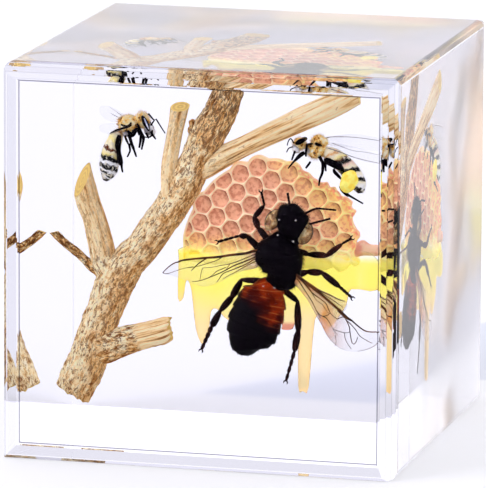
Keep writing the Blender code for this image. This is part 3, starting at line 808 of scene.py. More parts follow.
# %% Honeycomb
COMB = [(-6.1, 17.4), (-6.2, 20.0), (-5.88, 21.49), (-5.26, 23.0), (-4.6, 24.2), (-3.1, 26.2),
        (-1.2, 27.6), (1.28, 28.5), (3.68, 28.9), (5.28, 28.4), (6.89, 27.58), (8.49, 26.74),
        (9.84, 26.15), (11.18, 25.17), (12.1, 23.5), (11.8, 22.9), (12.2, 22.2), (12.5, 21.16),
        (12.4, 19.9), (12.3, 18.0), (8.5, 17.4), (0.2, 17.4)]
COMB_FLAP = [(12.2, 20.6), (12.9, 20.9), (13.6, 20.5), (14.6, 20.4), (14.6, 19.4), (13.0, 19.3),
             (12.0, 19.2)]
CELL_REACH = 1.18    # how far the wax goes from the centre of an outer cell
COMB_MIDDLE = (4.0, 20.5)
COMB_REACH = (10.5, 9.0)
FIRST_CELL = (-0.18, 25.09)


def comb_front(x, z):
    """Depth of the comb's domed front."""
    u = (x - COMB_MIDDLE[0]) / COMB_REACH[0]
    v = (z - COMB_MIDDLE[1]) / COMB_REACH[1]
    return COMB_FRONT + COMB_DOME * min(u * u + v * v, 1.2)


def cell_centres(around=1.2):
    look = rim_of(COMB)
    lean = math.radians(CELL_TURN)
    along = Vector((math.cos(lean), math.sin(lean))) * CELL
    up = Matrix.Rotation(math.radians(60), 2) @ along
    for i in range(-12, 13):
        for j in range(-12, 13):
            spot = Vector(FIRST_CELL) + along * i + up * j
            within, gap, _ = look(spot.x, spot.y)
            if within or gap < around:
                yield spot, (gap if within else -gap)


def scalloped(outline, centres):
    """An outline pushed in or out, so that it runs round the cells nearest to it."""
    run = [p[:2] for p in smooth_run(outline + outline[:1], 8)][:-1]
    inner = [spot for spot, gap in centres if gap > 0.8]
    out = []
    for before, here, after in zip(run[-1:] + run[:-1], run, run[1:] + run[:1]):
        spot = Vector(here)
        way = Vector((-(after[1] - before[1]), after[0] - before[0])).normalized()
        reach = [-0.3]
        for centre in inner:
            gap = centre - spot
            under = CELL_REACH ** 2 - gap.length_squared + gap.dot(way) ** 2
            if under > 0:
                reach.append(gap.dot(way) + math.sqrt(under))
        # To the right the wax is torn and lumpy.
        torn = ease((spot.x - 6.0) / 3.0) * noise.noise(Vector((spot.x * 1.5, 4.0, spot.y * 1.5)))
        spot += way * (min(max(reach), 0.35) - torn * 0.55)
        out.append((spot.x, spot.y))
    return out


def honeycomb():
    found = list(cell_centres())
    bm, look = cut_grid(scalloped(COMB, found), 0.115)
    cell = bm.verts.layers.float_vector.new("cell")
    outer = bm.verts.layers.float.new("outer")
    centres = [spot for spot, gap in found]
    lean = math.radians(CELL_TURN)
    faces = [Vector((math.cos(lean + k * math.pi / 3), math.sin(lean + k * math.pi / 3)))
             for k in range(3)]
    for v in bm.verts:
        here = Vector((v.co.x, v.co.z))
        away = min(((here - c) for c in centres), key=lambda gap: gap.length_squared)
        six = max(abs(away.dot(face)) for face in faces)
        across = 0.45 * six + 0.55 * away.length
        across += 0.05 * noise.noise(Vector((here.x * 1.3, 0, here.y * 1.3)))
        rim = look(here.x, here.y)[1]
        # Towards the honey the cells fill up and fade out.
        full = ease((here.y - 17.9 - 0.4 * noise.noise(Vector((here.x, 9.0, 0.0)))) / 1.6)
        pit = ease((0.97 - across) / 0.22) * ease(rim / 0.5) * full
        floor_of_pit = 0.75 + 0.25 * (1 - (across / 0.97) ** 2) if across < 0.97 else 0.75
        v[cell] = (away.x, away.y, pit)
        v[outer] = rim
        v.co.y = (comb_front(here.x, here.y) + CELL_DEEP * pit * floor_of_pit
                  + 0.05 * noise.noise(Vector((here.x * 2.5, 3.0, here.y * 2.5)))
                  + 0.25 * (1 - ease(rim / 0.35)))
    rim_edges = [edge for edge in bm.edges if edge.is_boundary]
    wall = bmesh.ops.extrude_edge_only(bm, edges=rim_edges)["geom"]
    for v in wall:
        if isinstance(v, bmesh.types.BMVert):
            v.co.y = COMB_BACK
    bmesh.ops.holes_fill(bm, edges=[e for e in wall if isinstance(e, bmesh.types.BMEdge)],
                         sides=0)
    bmesh.ops.triangulate(bm, faces=[f for f in bm.faces if len(f.verts) > 4])
    print(len(centres), "cells")
    return bm


def wax_finish():
    material, board = finish("beeswax")
    cell = board.carried("cell", 1)
    place = board.place()
    x = board.part(place, 0) * PER_METRE
    z = board.part(place, 2) * PER_METRE
    pit = board.part(cell, 2)
    left = board.part(cell, 0)
    up = board.part(cell, 1)
    mottle = board.noise({"Vector": place, "Scale": 2600.0, "Detail": 3.0})
    cloud = board.noise({"Vector": place, "Scale": 240.0, "Detail": 2.0})
    # Yellower towards the upper right, and along the honey.
    gold = (board.band(x * 0.75 + z * 0.65 + cloud * 5, 21.0, 27.5)
            + (1 - board.band(z + cloud * 2.5, 20.8, 22.6)) * 0.85)
    gold = board.node("Clamp", None, {0: gold})
    rims = board.mix(gold, rgb(255, 220, 178), rgb(255, 226, 140))
    pits = board.mix(gold, rgb(230, 174, 138), rgb(246, 200, 124))
    pits = board.mix(board.band(mottle, 0.42, 0.66) * 0.9, pits, rgb(198, 126, 96))
    colour = board.mix(board.band(pit, 0.15, 0.60) * (1 - gold * 0.25), rims, pits)
    # Each hollow has painted shade on its upper right, under its wall.
    lean = left * 0.8 + up * 0.6
    shade = board.band(lean, 0.05, 0.85) * 0.5 + board.band(lean, 0.60, 0.80) * 0.4
    colour = board.mix(shade * board.band(pit, 0.1, 0.6), colour, rgb(140, 78, 50))
    # Below, honey has soaked in.
    soaked = 1 - board.band(z + cloud * 2.0, 19.2, 21.2)
    colour = board.mix(soaked, colour, board.mix(pit * 0.6, rgb(255, 249, 196),
                                                 rgb(252, 224, 150)))
    # The torn edge at the upper right is rosier.
    outer = board.carried("outer")
    torn = (1 - board.band(outer + cloud * 0.5, 0.40, 0.75)) * board.band(x, 4.0, 7.0)
    colour = board.mix(torn * (1 - soaked) * board.band(mottle, 0.35, 0.6), colour,
                       rgb(232, 146, 108))
    bump = board.bump(mottle, 0.35, 0.0001)
    board.skin({
        "Base Color": colour, "Roughness": 0.5 + pit * 0.2, "Specular IOR Level": 0.2,
        "Emission Color": colour, "Emission Strength": 0.25,
        "Subsurface Weight": 0.15, "Subsurface Radius": (0.001, 0.0006, 0.0003),
        "Normal": bump})
    return material


def flap():
    """A torn bit of wax at the comb's right, rosier than the rest."""
    outline = [p[:2] for p in smooth_run(COMB_FLAP + COMB_FLAP[:1], 4)][:-1]

    def half(x, z, rim):
        return 0.35 * math.sqrt(min(rim / 0.4, 1.0)) + 0.05 * min(rim, 1.0) * noise.noise(
            Vector((x * 2, 7.0, z * 2)))
    return pillow(outline, 0.12, lambda x, z: 5.4, half)


def flap_finish():
    material, board = finish("rosy_wax")
    place = board.place()
    mottle = board.noise({"Vector": place, "Scale": 900.0, "Detail": 3.0})
    bump = board.bump(mottle, 0.4, 0.0002)
    board.skin({
        "Base Color": board.mix(board.band(mottle, 0.4, 0.62), rgb(252, 206, 164),
                                rgb(240, 158, 130)),
        "Roughness": 0.55, "Specular IOR Level": 0.2, "Normal": bump})
    return material


piece("comb", honeycomb(), wax_finish(), "beeswax", "honeycomb")
piece("comb_flap", flap(), flap_finish(), "beeswax", "honeycomb")

# %% [markdown]
# ## The honey
#
# Honey hangs from the comb in a thin sheet that gathers into drips. Surface
# tension rounds its edges and swells the drips, so the sheet's two sides meet at
# the rim and the depth grows quickly inwards. Honey is see-through. It lies in
# resin that bends light almost as it does, so its refraction is set close to 1.
# Over the comb it thins out until only the wax shows.

# %% Honey
HONEY = [(-6.2, 19.0), (-6.3, 13.9), (-5.7, 14.0), (-5.4, 15.8), (-4.9, 14.8), (-4.4, 10.8),
         (-3.6, 9.2), (-3.0, 11.0), (-2.8, 12.7), (-2.2, 13.0), (-1.0, 11.9), (0.8, 12.3),
         (4.4, 11.9), (4.5, 11.3), (5.7, 11.4), (6.2, 12.6), (6.3, 5.5), (6.8, 5.1), (7.4, 5.5),
         (8.0, 12.5), (8.9, 12.6), (9.6, 11.8), (11.2, 14.1), (11.7, 15.8), (14.5, 15.9),
         (14.5, 19.1), (12.4, 20.0), (10.8, 19.4), (8.5, 20.1), (6.5, 19.4), (3.4, 20.4),
         (0.2, 20.4), (-2.0, 20.7), (-5.4, 19.4)]


def honey():
    outline = [p[:2] for p in smooth_run(HONEY + HONEY[:1], 3)][:-1]

    def half(x, z, rim):
        full = HONEY_HALF * math.sqrt(max(0.0, 1 - (1 - min(rim / 0.75, 1.0)) ** 2))
        wave = 0.07 * noise.noise(Vector((x * 0.8, 0.0, z * 0.35)))
        return full + wave * min(rim, 1.0)

    def middle(x, z):
        # The honey wells out over the comb's lower cells, in front of them.
        return HONEY_MID - 0.7 * ease((z - 17.8) / 1.5)
    return pillow(outline, 0.16, middle, half)


def honey_finish():
    material, board = finish("honey")
    place = board.place()
    x = board.part(place, 0) * PER_METRE
    z = board.part(place, 2) * PER_METRE
    rim = board.carried("rim")
    long = board.node("Mapping", None, {"Vector": place, "Scale": (420.0, 420.0, 110.0)})
    run = board.noise({"Vector": long, "Scale": 1.0, "Detail": 3.0,
                                        "Distortion": 0.6})
    cloud = board.noise({"Vector": place, "Scale": 190.0, "Detail": 1.0})
    low = 1 - board.band(z + cloud * 4.0, 13.0, 18.0)
    colour = board.mix(low, rgb(255, 242, 112), rgb(255, 229, 168))
    # Paler streaks along the runs are painted highlights.
    colour = board.mix(board.band(run, 0.50, 0.75) * 0.5, colour, rgb(255, 246, 160))
    # Where it lies thinly over the comb it takes the colour away only slowly.
    thin = board.band(z + cloud * 1.6, 19.3, 21.0)
    colour = board.mix(thin, colour, rgb(255, 253, 232))
    # The rim is painted a darker peach as shade, but not where the honey lies over the comb.
    amber = ((1 - board.band(rim, 0.03, 0.42)) * (0.15 + run * 0.4)
             * (1 - board.band(z, 18.0, 19.0)))
    colour = board.mix(amber, colour, rgb(244, 184, 116))
    bit = (board.band(x, 4.2, 4.6) * (1 - board.band(x, 5.8, 6.1))
           * (1 - board.band(z + cloud * 0.8, 12.1, 12.6)))
    colour = board.mix(bit, colour, rgb(222, 150, 122))
    bump = board.bump(run, 0.3, 0.0004)
    board.skin({
        "Base Color": colour, "Roughness": 0.1, "IOR": 1.03, "Transmission Weight": 0.95,
        "Alpha": 1 - thin, "Emission Color": colour, "Emission Strength": 0.06,
        "Normal": bump})
    return material


piece("honey_sheet", honey(), honey_finish(), "honey", "honey")

# %% [markdown]
# ## The honeybee's body
#
# An insect's skin is a hard shell in rings. The abdomen shows it best: each ring
# swells towards its rear edge and slides over the next, so a wrapped grid gets
# one small step for each ring. The thorax and the head are lumpier runs of the
# same kind. Set in resin, the shell hardly shines, because resin bends light
# almost as the shell does. So the body is nearly black, with a red-brown glow
# where light passes through the rings.

# %% Honeybee body
ABDOMEN = ((3.15, 17.0, 0.4), (3.19, 16.8, 0.9), (3.35, 16.5, 1.51), (3.38, 16.1, 1.86),
           (3.27, 15.32, 2.24), (3.1, 14.54, 2.45), (2.78, 13.45, 2.61), (2.37, 12.25, 2.65),
           (2.09, 11.21, 2.51), (1.92, 10.48, 2.16), (1.84, 9.86, 1.76), (1.89, 9.4, 1.21),
           (2.05, 9.07, 0.3))
THORAX = ((5.3, 21.7, 0.5), (5.21, 21.22, 1.25), (5.11, 20.51, 1.85), (4.96, 19.99, 2.25),
          (4.91, 19.58, 2.5), (5.02, 19.12, 2.45), (5.17, 18.57, 2.2), (5.21, 17.96, 2.0),
          (5.23, 17.35, 1.75), (4.72, 16.76, 1.25), (4.47, 16.39, 0.8), (4.4, 16.1, 0.3))
HEAD = ((5.7, 21.2, 0.4), (5.84, 21.48, 0.9), (6.04, 22.0, 1.4), (6.24, 22.72, 1.6),
        (6.29, 23.54, 1.62), (6.39, 24.15, 1.35), (6.54, 24.51, 0.7), (6.6, 24.75, 0.2))
RING = 1.28          # length of one ring of the abdomen


def rings(c, d, s, radius):
    """Each ring stands out at its rear edge, over the start of the next one."""
    return (0.2 * (s / RING % 1.0) * min(radius, 1.0)
            + 0.05 * noise.noise(Vector((c * 2.5, d * 2.5, s * 0.9))) - 0.05)


def body_run(points, y, **look):
    return wrapped(smooth_run([(x, y, z, r) for x, z, r in points], 5), **look)


def shell_finish(name, glow):
    """A dark shell. Where glow is above 0, light from behind comes through red-brown."""
    material, board = finish(name)
    place = board.place()
    x = board.part(place, 0) * PER_METRE
    z = board.part(place, 2) * PER_METRE
    grain = board.noise({"Vector": place, "Scale": 1500.0, "Detail": 4.0})
    cloud = board.noise({"Vector": place, "Scale": 520.0, "Detail": 3.0})
    colour = board.mix(board.band(grain, 0.45, 0.75), rgb(3, 0, 5), rgb(9, 3, 11))
    if glow:
        # The red-brown patch fills the abdomen's upper part, down to a slanting border.
        run = board.carried("grain", 1)
        side = board.node("Math", {"operation": "ABSOLUTE"},
                          {0: board.part(run, 0)})
        lean = (z - 13.6) + (x - 3.0) * 0.85
        patch = (board.band(lean + (cloud - 0.5) * 3.5, -1.0, 1.9)
                 * (1 - board.band(side, 2.05, 2.6)) * glow)
        warm = board.mix(board.band(cloud + lean * 0.05, 0.50, 0.76),
                         rgb(70, 9, 2), rgb(150, 44, 5))
        # Thin paler lines follow the rings' edges.
        ring = board.node("Math", {"operation": "FRACT"}, {
            0: board.part(run, 2) * (2 / RING) + cloud * 0.35})
        edge = board.band(ring, 0.78, 0.86) * (1 - board.band(ring, 0.90, 0.98))
        warm = board.mix(edge * 0.8 * board.band(cloud, 0.40, 0.55), warm, rgb(176, 88, 40))
        colour = board.mix(patch, colour, warm)
    bump = board.bump(grain, 0.35, 0.0001)
    board.skin({
        "Base Color": colour, "Roughness": 0.35 + grain * 0.2, "Specular IOR Level": 0.03,
        "Normal": bump})
    return material


dark_shell = shell_finish("bee_shell", 0.0)
glowing_shell = shell_finish("bee_abdomen", 1.0)
piece("bee_abdomen", body_run(ABDOMEN, 1.1, sides=72, step=0.09, flat=0.7, relief=rings),
      glowing_shell, "dark_insect", "honeybee")
body = joined([
    body_run(THORAX, BEE_Y, sides=64, step=0.11, flat=0.82, relief=ridges(31.0, 0.11, 1.0)),
    body_run(HEAD, BEE_Y - 0.1, sides=56, step=0.1, flat=0.8, relief=ridges(37.0, 0.09, 1.0)),
    ball(4.6, BEE_Y, 16.6, 1.15, 0.9, 1.0),
    ball(5.55, BEE_Y, 21.1, 1.55, 0.8, 0.95),
])
piece("bee_thorax_and_head", body, dark_shell, "dark_insect", "honeybee")

# %% [markdown]
# ## Air bubbles
#
# Air clings to an insect when the resin is poured over it, and a few fine bubbles
# stay behind as bright rings. A bubble is a hollow in the resin, so it is a ball
# whose refraction is the inverse of the resin's.

# %% Air bubbles
BUBBLES = ((5.14, 21.76, 0.10), (6.69, 21.22, 0.12), (5.24, 23.32, 0.08), (6.94, 23.35, 0.09),
           (3.66, 16.48, 0.09), (4.8, 16.38, 0.10))
BUBBLE_Y = -1.2


def bubble_finish():
    material, board = finish("air_bubble")
    place = board.place()
    wave = board.noise({"Vector": place, "Scale": 4000.0})
    bump = board.bump(wave, 0.1, 0.00002)
    board.skin({
        "Base Color": (1.0, 1.0, 1.0, 1.0), "Roughness": 0.0, "IOR": 1 / RESIN_BEND,
        "Transmission Weight": 1.0, "Normal": bump})
    return material


piece("bee_bubbles", joined([ball(x, BUBBLE_Y, z, r, r, r, 0.0, 20, 12) for x, z, r in BUBBLES]),
      bubble_finish(), "clear_resin", "honeybee")

# %% [markdown]
# ## The honeybee's eyes
#
# The eyes here are painted a cloudy olive brown, and light passes through their
# edges. A fine bump of tiny cells gives them their matt grain.

# %% Eyes
LEFT_EYE = ((3.62, 21.95, 0.12), (3.85, 22.3, 0.52), (4.2, 22.85, 0.78), (4.5, 23.4, 0.72),
            (4.75, 23.85, 0.45), (4.9, 24.1, 0.12))
RIGHT_EYE = ((7.1, 20.72, 0.12), (7.25, 21.0, 0.5), (7.55, 21.6, 0.74), (7.8, 22.2, 0.68),
             (7.95, 22.75, 0.4), (8.0, 23.0, 0.12))


def eye_finish():
    material, board = finish("bee_eye")
    place = board.place()
    run = board.carried("grain", 1)
    across = board.node("Math", {"operation": "ABSOLUTE"},
                        {0: board.part(run, 0)})
    lens = board.node("TexVoronoi", None, {"Vector": place, "Scale": 9000.0})
    cloud = board.noise({"Vector": place, "Scale": 1300.0, "Detail": 2.0})
    colour = board.node("ValToRGB", {"stops": (
        (0.38, rgb(96, 60, 28)), (0.50, rgb(190, 150, 86)), (0.62, rgb(246, 226, 172)))},
        {0: cloud})
    # The dark rim is painted shade along the eye's outline.
    rim = board.band(across, 0.36, 0.46)
    colour = board.mix(rim, colour, rgb(34, 18, 10))
    bump = board.bump(lens, 0.3, 0.00005)
    board.skin({
        "Base Color": colour, "Roughness": 0.45, "Specular IOR Level": 0.2,
        "Alpha": 0.55 + rim * 0.4, "Normal": bump})
    return material


eyes = joined([body_run(run, BEE_Y - 0.1, sides=40, step=0.08, flat=1.0)
               for run in (LEFT_EYE, RIGHT_EYE)])
piece("bee_eyes", eyes, eye_finish(), "dark_insect", "honeybee")

# %% [markdown]
# ## Legs and feelers
#
# An insect's leg is a chain of stiff tubes. Each one swells in the middle and
# narrows where it hinges on the next, and the last ones are small beads that end
# in a claw. A run of stations with swelling radii gives that shape, and the same
# wrapped grid makes the feelers.

# %% Legs and feelers
LEGS = (
    ((4.0, 20.4, 0.30), (2.5, 21.9, 0.34), (2.1, 23.0, 0.32), (3.1, 24.3, 0.20), (2.8, 25.5, 0.12)),
    ((3.8, 18.9, 0.36), (1.3, 21.0, 0.34), (0.5, 21.0, 0.22), (-1.6, 20.3, 0.12)),
    ((4.2, 16.6, 0.32), (0.8, 16.5, 0.30), (-0.2, 14.7, 0.38), (-1.4, 13.2, 0.28),
     (-2.3, 11.5, 0.40), (-3.3, 9.2, 0.14)),
    ((6.0, 20.0, 0.32), (7.7, 19.5, 0.30), (9.6, 19.5, 0.34), (11.2, 20.8, 0.20),
     (12.0, 21.3, 0.12)),
    ((5.9, 17.2, 0.32), (7.6, 17.7, 0.34), (9.1, 17.7, 0.34), (11.0, 16.3, 0.30),
     (12.1, 15.4, 0.12)),
    ((4.6, 16.4, 0.32), (6.6, 14.6, 0.32), (6.7, 11.6, 0.38), (6.3, 9.4, 0.32),
     (5.5, 6.5, 0.13)),
)
FEELERS = (
    ((5.9, 23.6, 0.17), (6.0, 24.6, 0.13), (5.8, 25.9, 0.13)),
    ((7.2, 23.6, 0.14), (8.0, 24.1, 0.12), (8.8, 24.45, 0.11), (9.6, 24.45, 0.10),
     (10.8, 24.4, 0.10)),
    ((7.4, 22.6, 0.14), (8.6, 23.0, 0.11), (10.2, 23.5, 0.11)),
)


def jointed(joints, root, out):
    """A leg's stations: each length swells in the middle and narrows at its joints."""
    run = []
    last = len(joints) - 2
    for i, ((x0, z0, r0), (x1, z1, r1)) in enumerate(zip(joints, joints[1:])):
        beads = 4 if i == last else 1
        for bead in range(beads):
            for t, k in ((0.0, 0.6), (0.18, 0.92), (0.5, 1.08), (0.82, 0.95)):
                s = (bead + t) / beads
                y = root + (out - root) * min(1.0, s * 1.3) if i == 0 else out
                r = r0 + (r1 - r0) * s
                if i == last:
                    r = r0 * 0.62 + (r1 * 1.2 - r0 * 0.62) * s
                run.append((x0 + (x1 - x0) * s, y, z0 + (z1 - z0) * s, r * k))
    x, z, r = joints[-1]
    run.append((x, out, z, r))
    return run


def claw(joints, out):
    """Two small hooks at the end of a leg."""
    (x0, z0, _), (x1, z1, r) = joints[-2:]
    way = Vector((x1 - x0, z1 - z0)).normalized()
    side = Vector((-way.y, way.x))
    hooks = []
    for s in (-1, 1):
        a = Vector((x1, z1))
        b = a + way * 0.22 + side * (0.2 * s)
        c = b + way * 0.2 - side * (0.02 * s)
        hooks.append(wrapped([(a.x, out, a.y, 0.09), (b.x, out, b.y, 0.07),
                              (c.x, out, c.y, 0.03)], 8, 0.08))
    return hooks


shapes = []
for leg in LEGS:
    shapes.append(wrapped(jointed(leg, BEE_Y + 0.6, LEG_Y), 16, 0.11))
    shapes += claw(leg, LEG_Y)
for feeler in FEELERS:
    run = [(x, BEE_Y - 0.3, z, r) for x, z, r in feeler]
    shapes.append(wrapped(smooth_run(run, 4), 10, 0.14,
                          relief=lambda c, d, s, r: 0.014 * math.sin(s * 18)))


def limb_finish():
    material, board = finish("bee_leg")
    place = board.place()
    cloud = board.noise({"Vector": place, "Scale": 520.0, "Detail": 3.0})
    fine = board.noise({"Vector": place, "Scale": 3200.0, "Detail": 2.0})
    colour = board.node("ValToRGB", {"stops": (
        (0.35, rgb(14, 5, 8)), (0.55, rgb(34, 14, 16)), (0.66, rgb(62, 28, 22)),
        (0.78, rgb(96, 50, 32)))}, {0: cloud})
    bump = board.bump(fine, 0.4, 0.0001)
    board.skin({
        "Base Color": colour, "Roughness": 0.4 + fine * 0.2, "Specular IOR Level": 0.04,
        "Normal": bump})
    return material


leg_shell = limb_finish()
piece("bee_legs_and_feelers", joined(shapes), leg_shell, "dark_insect", "honeybee")

# %% [markdown]
# ## Hair
#
# A honeybee is furry: thousands of fine hairs stand on its thorax and in rows on
# its rings. Each hair here is a thin three-sided cone, so it costs four faces.
# They grow from random places on a body's own faces, along the face's normal and
# a little combed back.

# %% Hair
def grow(surface, count, length, width=0.022, comb=(0.0, 0.0, -0.35), keep=None):
    """Hairs on a mesh, as one bmesh of thin cones."""
    surface.faces.ensure_lookup_table()
    marks, total = [], 0.0
    chosen = []
    for face in surface.faces:
        middle = face.calc_center_median()
        share = 1.0 if keep is None else keep(middle)
        if share > 0:
            total += face.calc_area() * share
            marks.append(total)
            chosen.append((middle, face.normal.copy(), face.verts[0].co.copy()))
    batches, batch = [], None
    for n in range(count):
        if n % 150 == 0:
            batch = bmesh.new()
            batches.append(batch)
        middle, normal, corner = chosen[bisect_right(marks, random.random() * total)
                                        if total else 0]
        spot = middle.lerp(corner, random.random() * 0.8)
        way = normal + Vector(comb) + Vector((random.uniform(-0.35, 0.35),
                                              random.uniform(-0.35, 0.35),
                                              random.uniform(-0.35, 0.35)))
        way.normalize()
        long = length * random.uniform(0.55, 1.15)
        turn = way.to_track_quat("Z", "X").to_matrix().to_4x4()
        place = Matrix.Translation(spot + way * (long * 0.45)) @ turn
        bmesh.ops.create_cone(batch, cap_ends=True, segments=3, radius1=width, radius2=0.0,
                              depth=long, matrix=place)
    return joined(batches)


def surface_copy(obj):
    """A finished piece's mesh as a bmesh in millimetres."""
    bm = bmesh.new()
    bm.from_mesh(obj.data)
    bmesh.ops.scale(bm, vec=(1 / MM,) * 3, verts=bm.verts)
    bm.normal_update()
    return bm


def hair_finish(name, root, tip, alpha=1.0):
    material, board = finish(name)
    place = board.place()
    cloud = board.noise({"Vector": place, "Scale": 1300.0, "Detail": 2.0})
    board.skin({
        "Base Color": board.mix(board.band(cloud, 0.38, 0.62), root, tip),
        "Roughness": 0.7, "Specular IOR Level": 0.03, "Alpha": alpha})
    return material


body_mesh = surface_copy(bpy.data.objects["bee_thorax_and_head"])
abdomen_mesh = surface_copy(bpy.data.objects["bee_abdomen"])
legs_mesh = surface_copy(bpy.data.objects["bee_legs_and_feelers"])
dark_hair = hair_finish("bee_hair", rgb(6, 2, 6), rgb(20, 9, 10), 0.9)
piece("bee_thorax_hair", grow(body_mesh, 3600, 0.42, 0.018), dark_hair, "dark_insect", "honeybee")
piece("bee_abdomen_hair", grow(abdomen_mesh, 1500, 0.26, 0.014, (0, 0, -1.2)), dark_hair,
      "dark_insect", "honeybee")
piece("bee_leg_hair", grow(legs_mesh, 2200, 0.20, 0.012, (0, 0, -0.2),
                           keep=lambda p: 1.0 if p.y > 1.6 else 0.0),
      dark_hair, "dark_insect", "honeybee")

# %% [markdown]
# ## The honeybee's wings
#
# A wing is a clear film, thinner than paper, stiffened by brown veins. The film
# is a closed sheet with a pleat or two and a strong see-through finish. The veins
# are thin tubes that lie in it and follow the same pleats.

# %% Wing film and veins
def wing_depth(x, z):
    """Depth of a wing at a point, with its shallow pleats."""
    reach = math.hypot(x - 5.2, z - 18.0)
    angle = math.atan2(z - 18.0, abs(x - 5.2))
    return WING_Y + 0.10 * math.sin(angle * 26.0) * min(reach / 5.0, 1.0) + 0.012 * reach


def film(outline, depth=wing_depth, spacing=0.2, half=0.02):
    rounded = [p[:2] for p in smooth_run(outline + outline[:1], 3)][:-1]
    return pillow(rounded, spacing, depth, lambda x, z, rim: 0.0 if rim == 0.0 else half)


def vein(points, radius, depth=wing_depth, taper=0.5):
    """A thin tube through (x, z) points that follows the wing's pleats."""
    run = []
    rounded = smooth_run([(*p, 0.0) for p in points], 4)
    for i, (x, z, _) in enumerate(rounded):
        t = i / (len(rounded) - 1)
        run.append((x, depth(x, z), z, radius * (1 - t * (1 - taper))))
    return wrapped(run, 6, 0.3)


LEFT_WING = [(2.9, 19.95), (1.4, 19.55), (0.0, 19.3), (-2.8, 18.85), (-5.0, 18.45), (-5.9, 18.1),
             (-6.5, 17.7), (-7.0, 17.1), (-6.7, 16.95), (-5.9, 16.85), (-5.2, 16.6), (-4.2, 16.2),
             (-2.8, 15.9), (-1.4, 16.3), (0.0, 17.05), (1.4, 17.8), (3.0, 18.3)]
LEFT_VEINS = (
    (((3.4, 20.1), (2.6, 19.9), (1.4, 19.52), (0.0, 19.29), (-1.4, 19.02), (-2.8, 18.83),
      (-3.8, 18.68), (-5.0, 18.47), (-5.4, 18.28)), 0.15, 0.6),
    (((-5.4, 18.28), (-5.82, 18.15), (-6.45, 17.69), (-7.0, 17.1)), 0.07, 0.6),
    (((-7.0, 17.1), (-6.66, 17.0), (-6.17, 17.15), (-5.67, 17.35), (-4.96, 17.63),
      (-3.83, 17.91)), 0.035, 0.6),
    (((-2.5, 18.8), (-3.12, 18.37), (-3.4, 18.14), (-3.76, 17.77), (-4.04, 17.48)), 0.07, 0.5),
    (((3.0, 19.6), (2.53, 19.51), (1.19, 18.88), (0.0, 18.4), (-1.0, 18.17), (-1.92, 17.94),
      (-2.84, 17.82)), 0.06, 0.4),
    (((3.1, 19.3), (2.56, 19.2), (1.4, 18.68), (0.35, 18.21), (-0.71, 17.59), (-1.98, 16.96),
      (-3.18, 16.47), (-3.96, 16.36)), 0.085, 0.35),
    (((3.2, 19.2), (2.57, 19.05), (1.62, 18.45), (0.35, 17.86), (-0.71, 17.38), (-1.13, 16.8),
      (-1.41, 16.43)), 0.075, 0.4),
    (((3.2, 19.0), (2.67, 18.82), (1.41, 18.13), (0.56, 17.59), (-0.14, 17.2),
      (-0.78, 16.78)), 0.06, 0.4),
    (((-0.72, 19.13), (-1.42, 18.67), (-2.48, 18.26), (-3.54, 17.92), (-4.61, 17.72)), 0.05, 0.5),
    (((-0.43, 18.02), (-1.42, 17.55), (-1.7, 17.26), (-2.12, 16.95)), 0.045, 0.5),
    (((-0.01, 18.4), (-0.3, 18.0), (-0.43, 17.7)), 0.04, 0.8),
    (((-2.84, 17.82), (-3.0, 17.3), (-3.18, 16.47)), 0.035, 0.8),
)
RIGHT_WING = [(6.9, 17.6), (8.24, 16.65), (9.07, 16.05), (10.03, 15.35), (10.93, 14.65),
              (11.82, 13.85), (12.59, 13.35), (13.23, 12.82), (13.87, 12.42), (14.44, 12.3),
              (15.15, 12.3), (15.4, 11.7), (15.1, 11.0), (14.3, 10.5), (13.2, 10.2),
              (11.99, 10.2), (11.0, 10.6), (10.1, 11.5), (9.35, 12.85), (8.77, 13.8),
              (7.99, 15.2), (6.5, 17.0)]
RIGHT_HIND_WING = [(6.9, 17.7), (8.75, 16.5), (9.39, 16.15), (10.28, 15.82), (11.05, 15.46),
                   (11.9, 15.2), (12.0, 14.61), (11.63, 14.1), (10.67, 14.47), (9.78, 15.18),
                   (8.75, 15.75), (6.9, 17.3)]
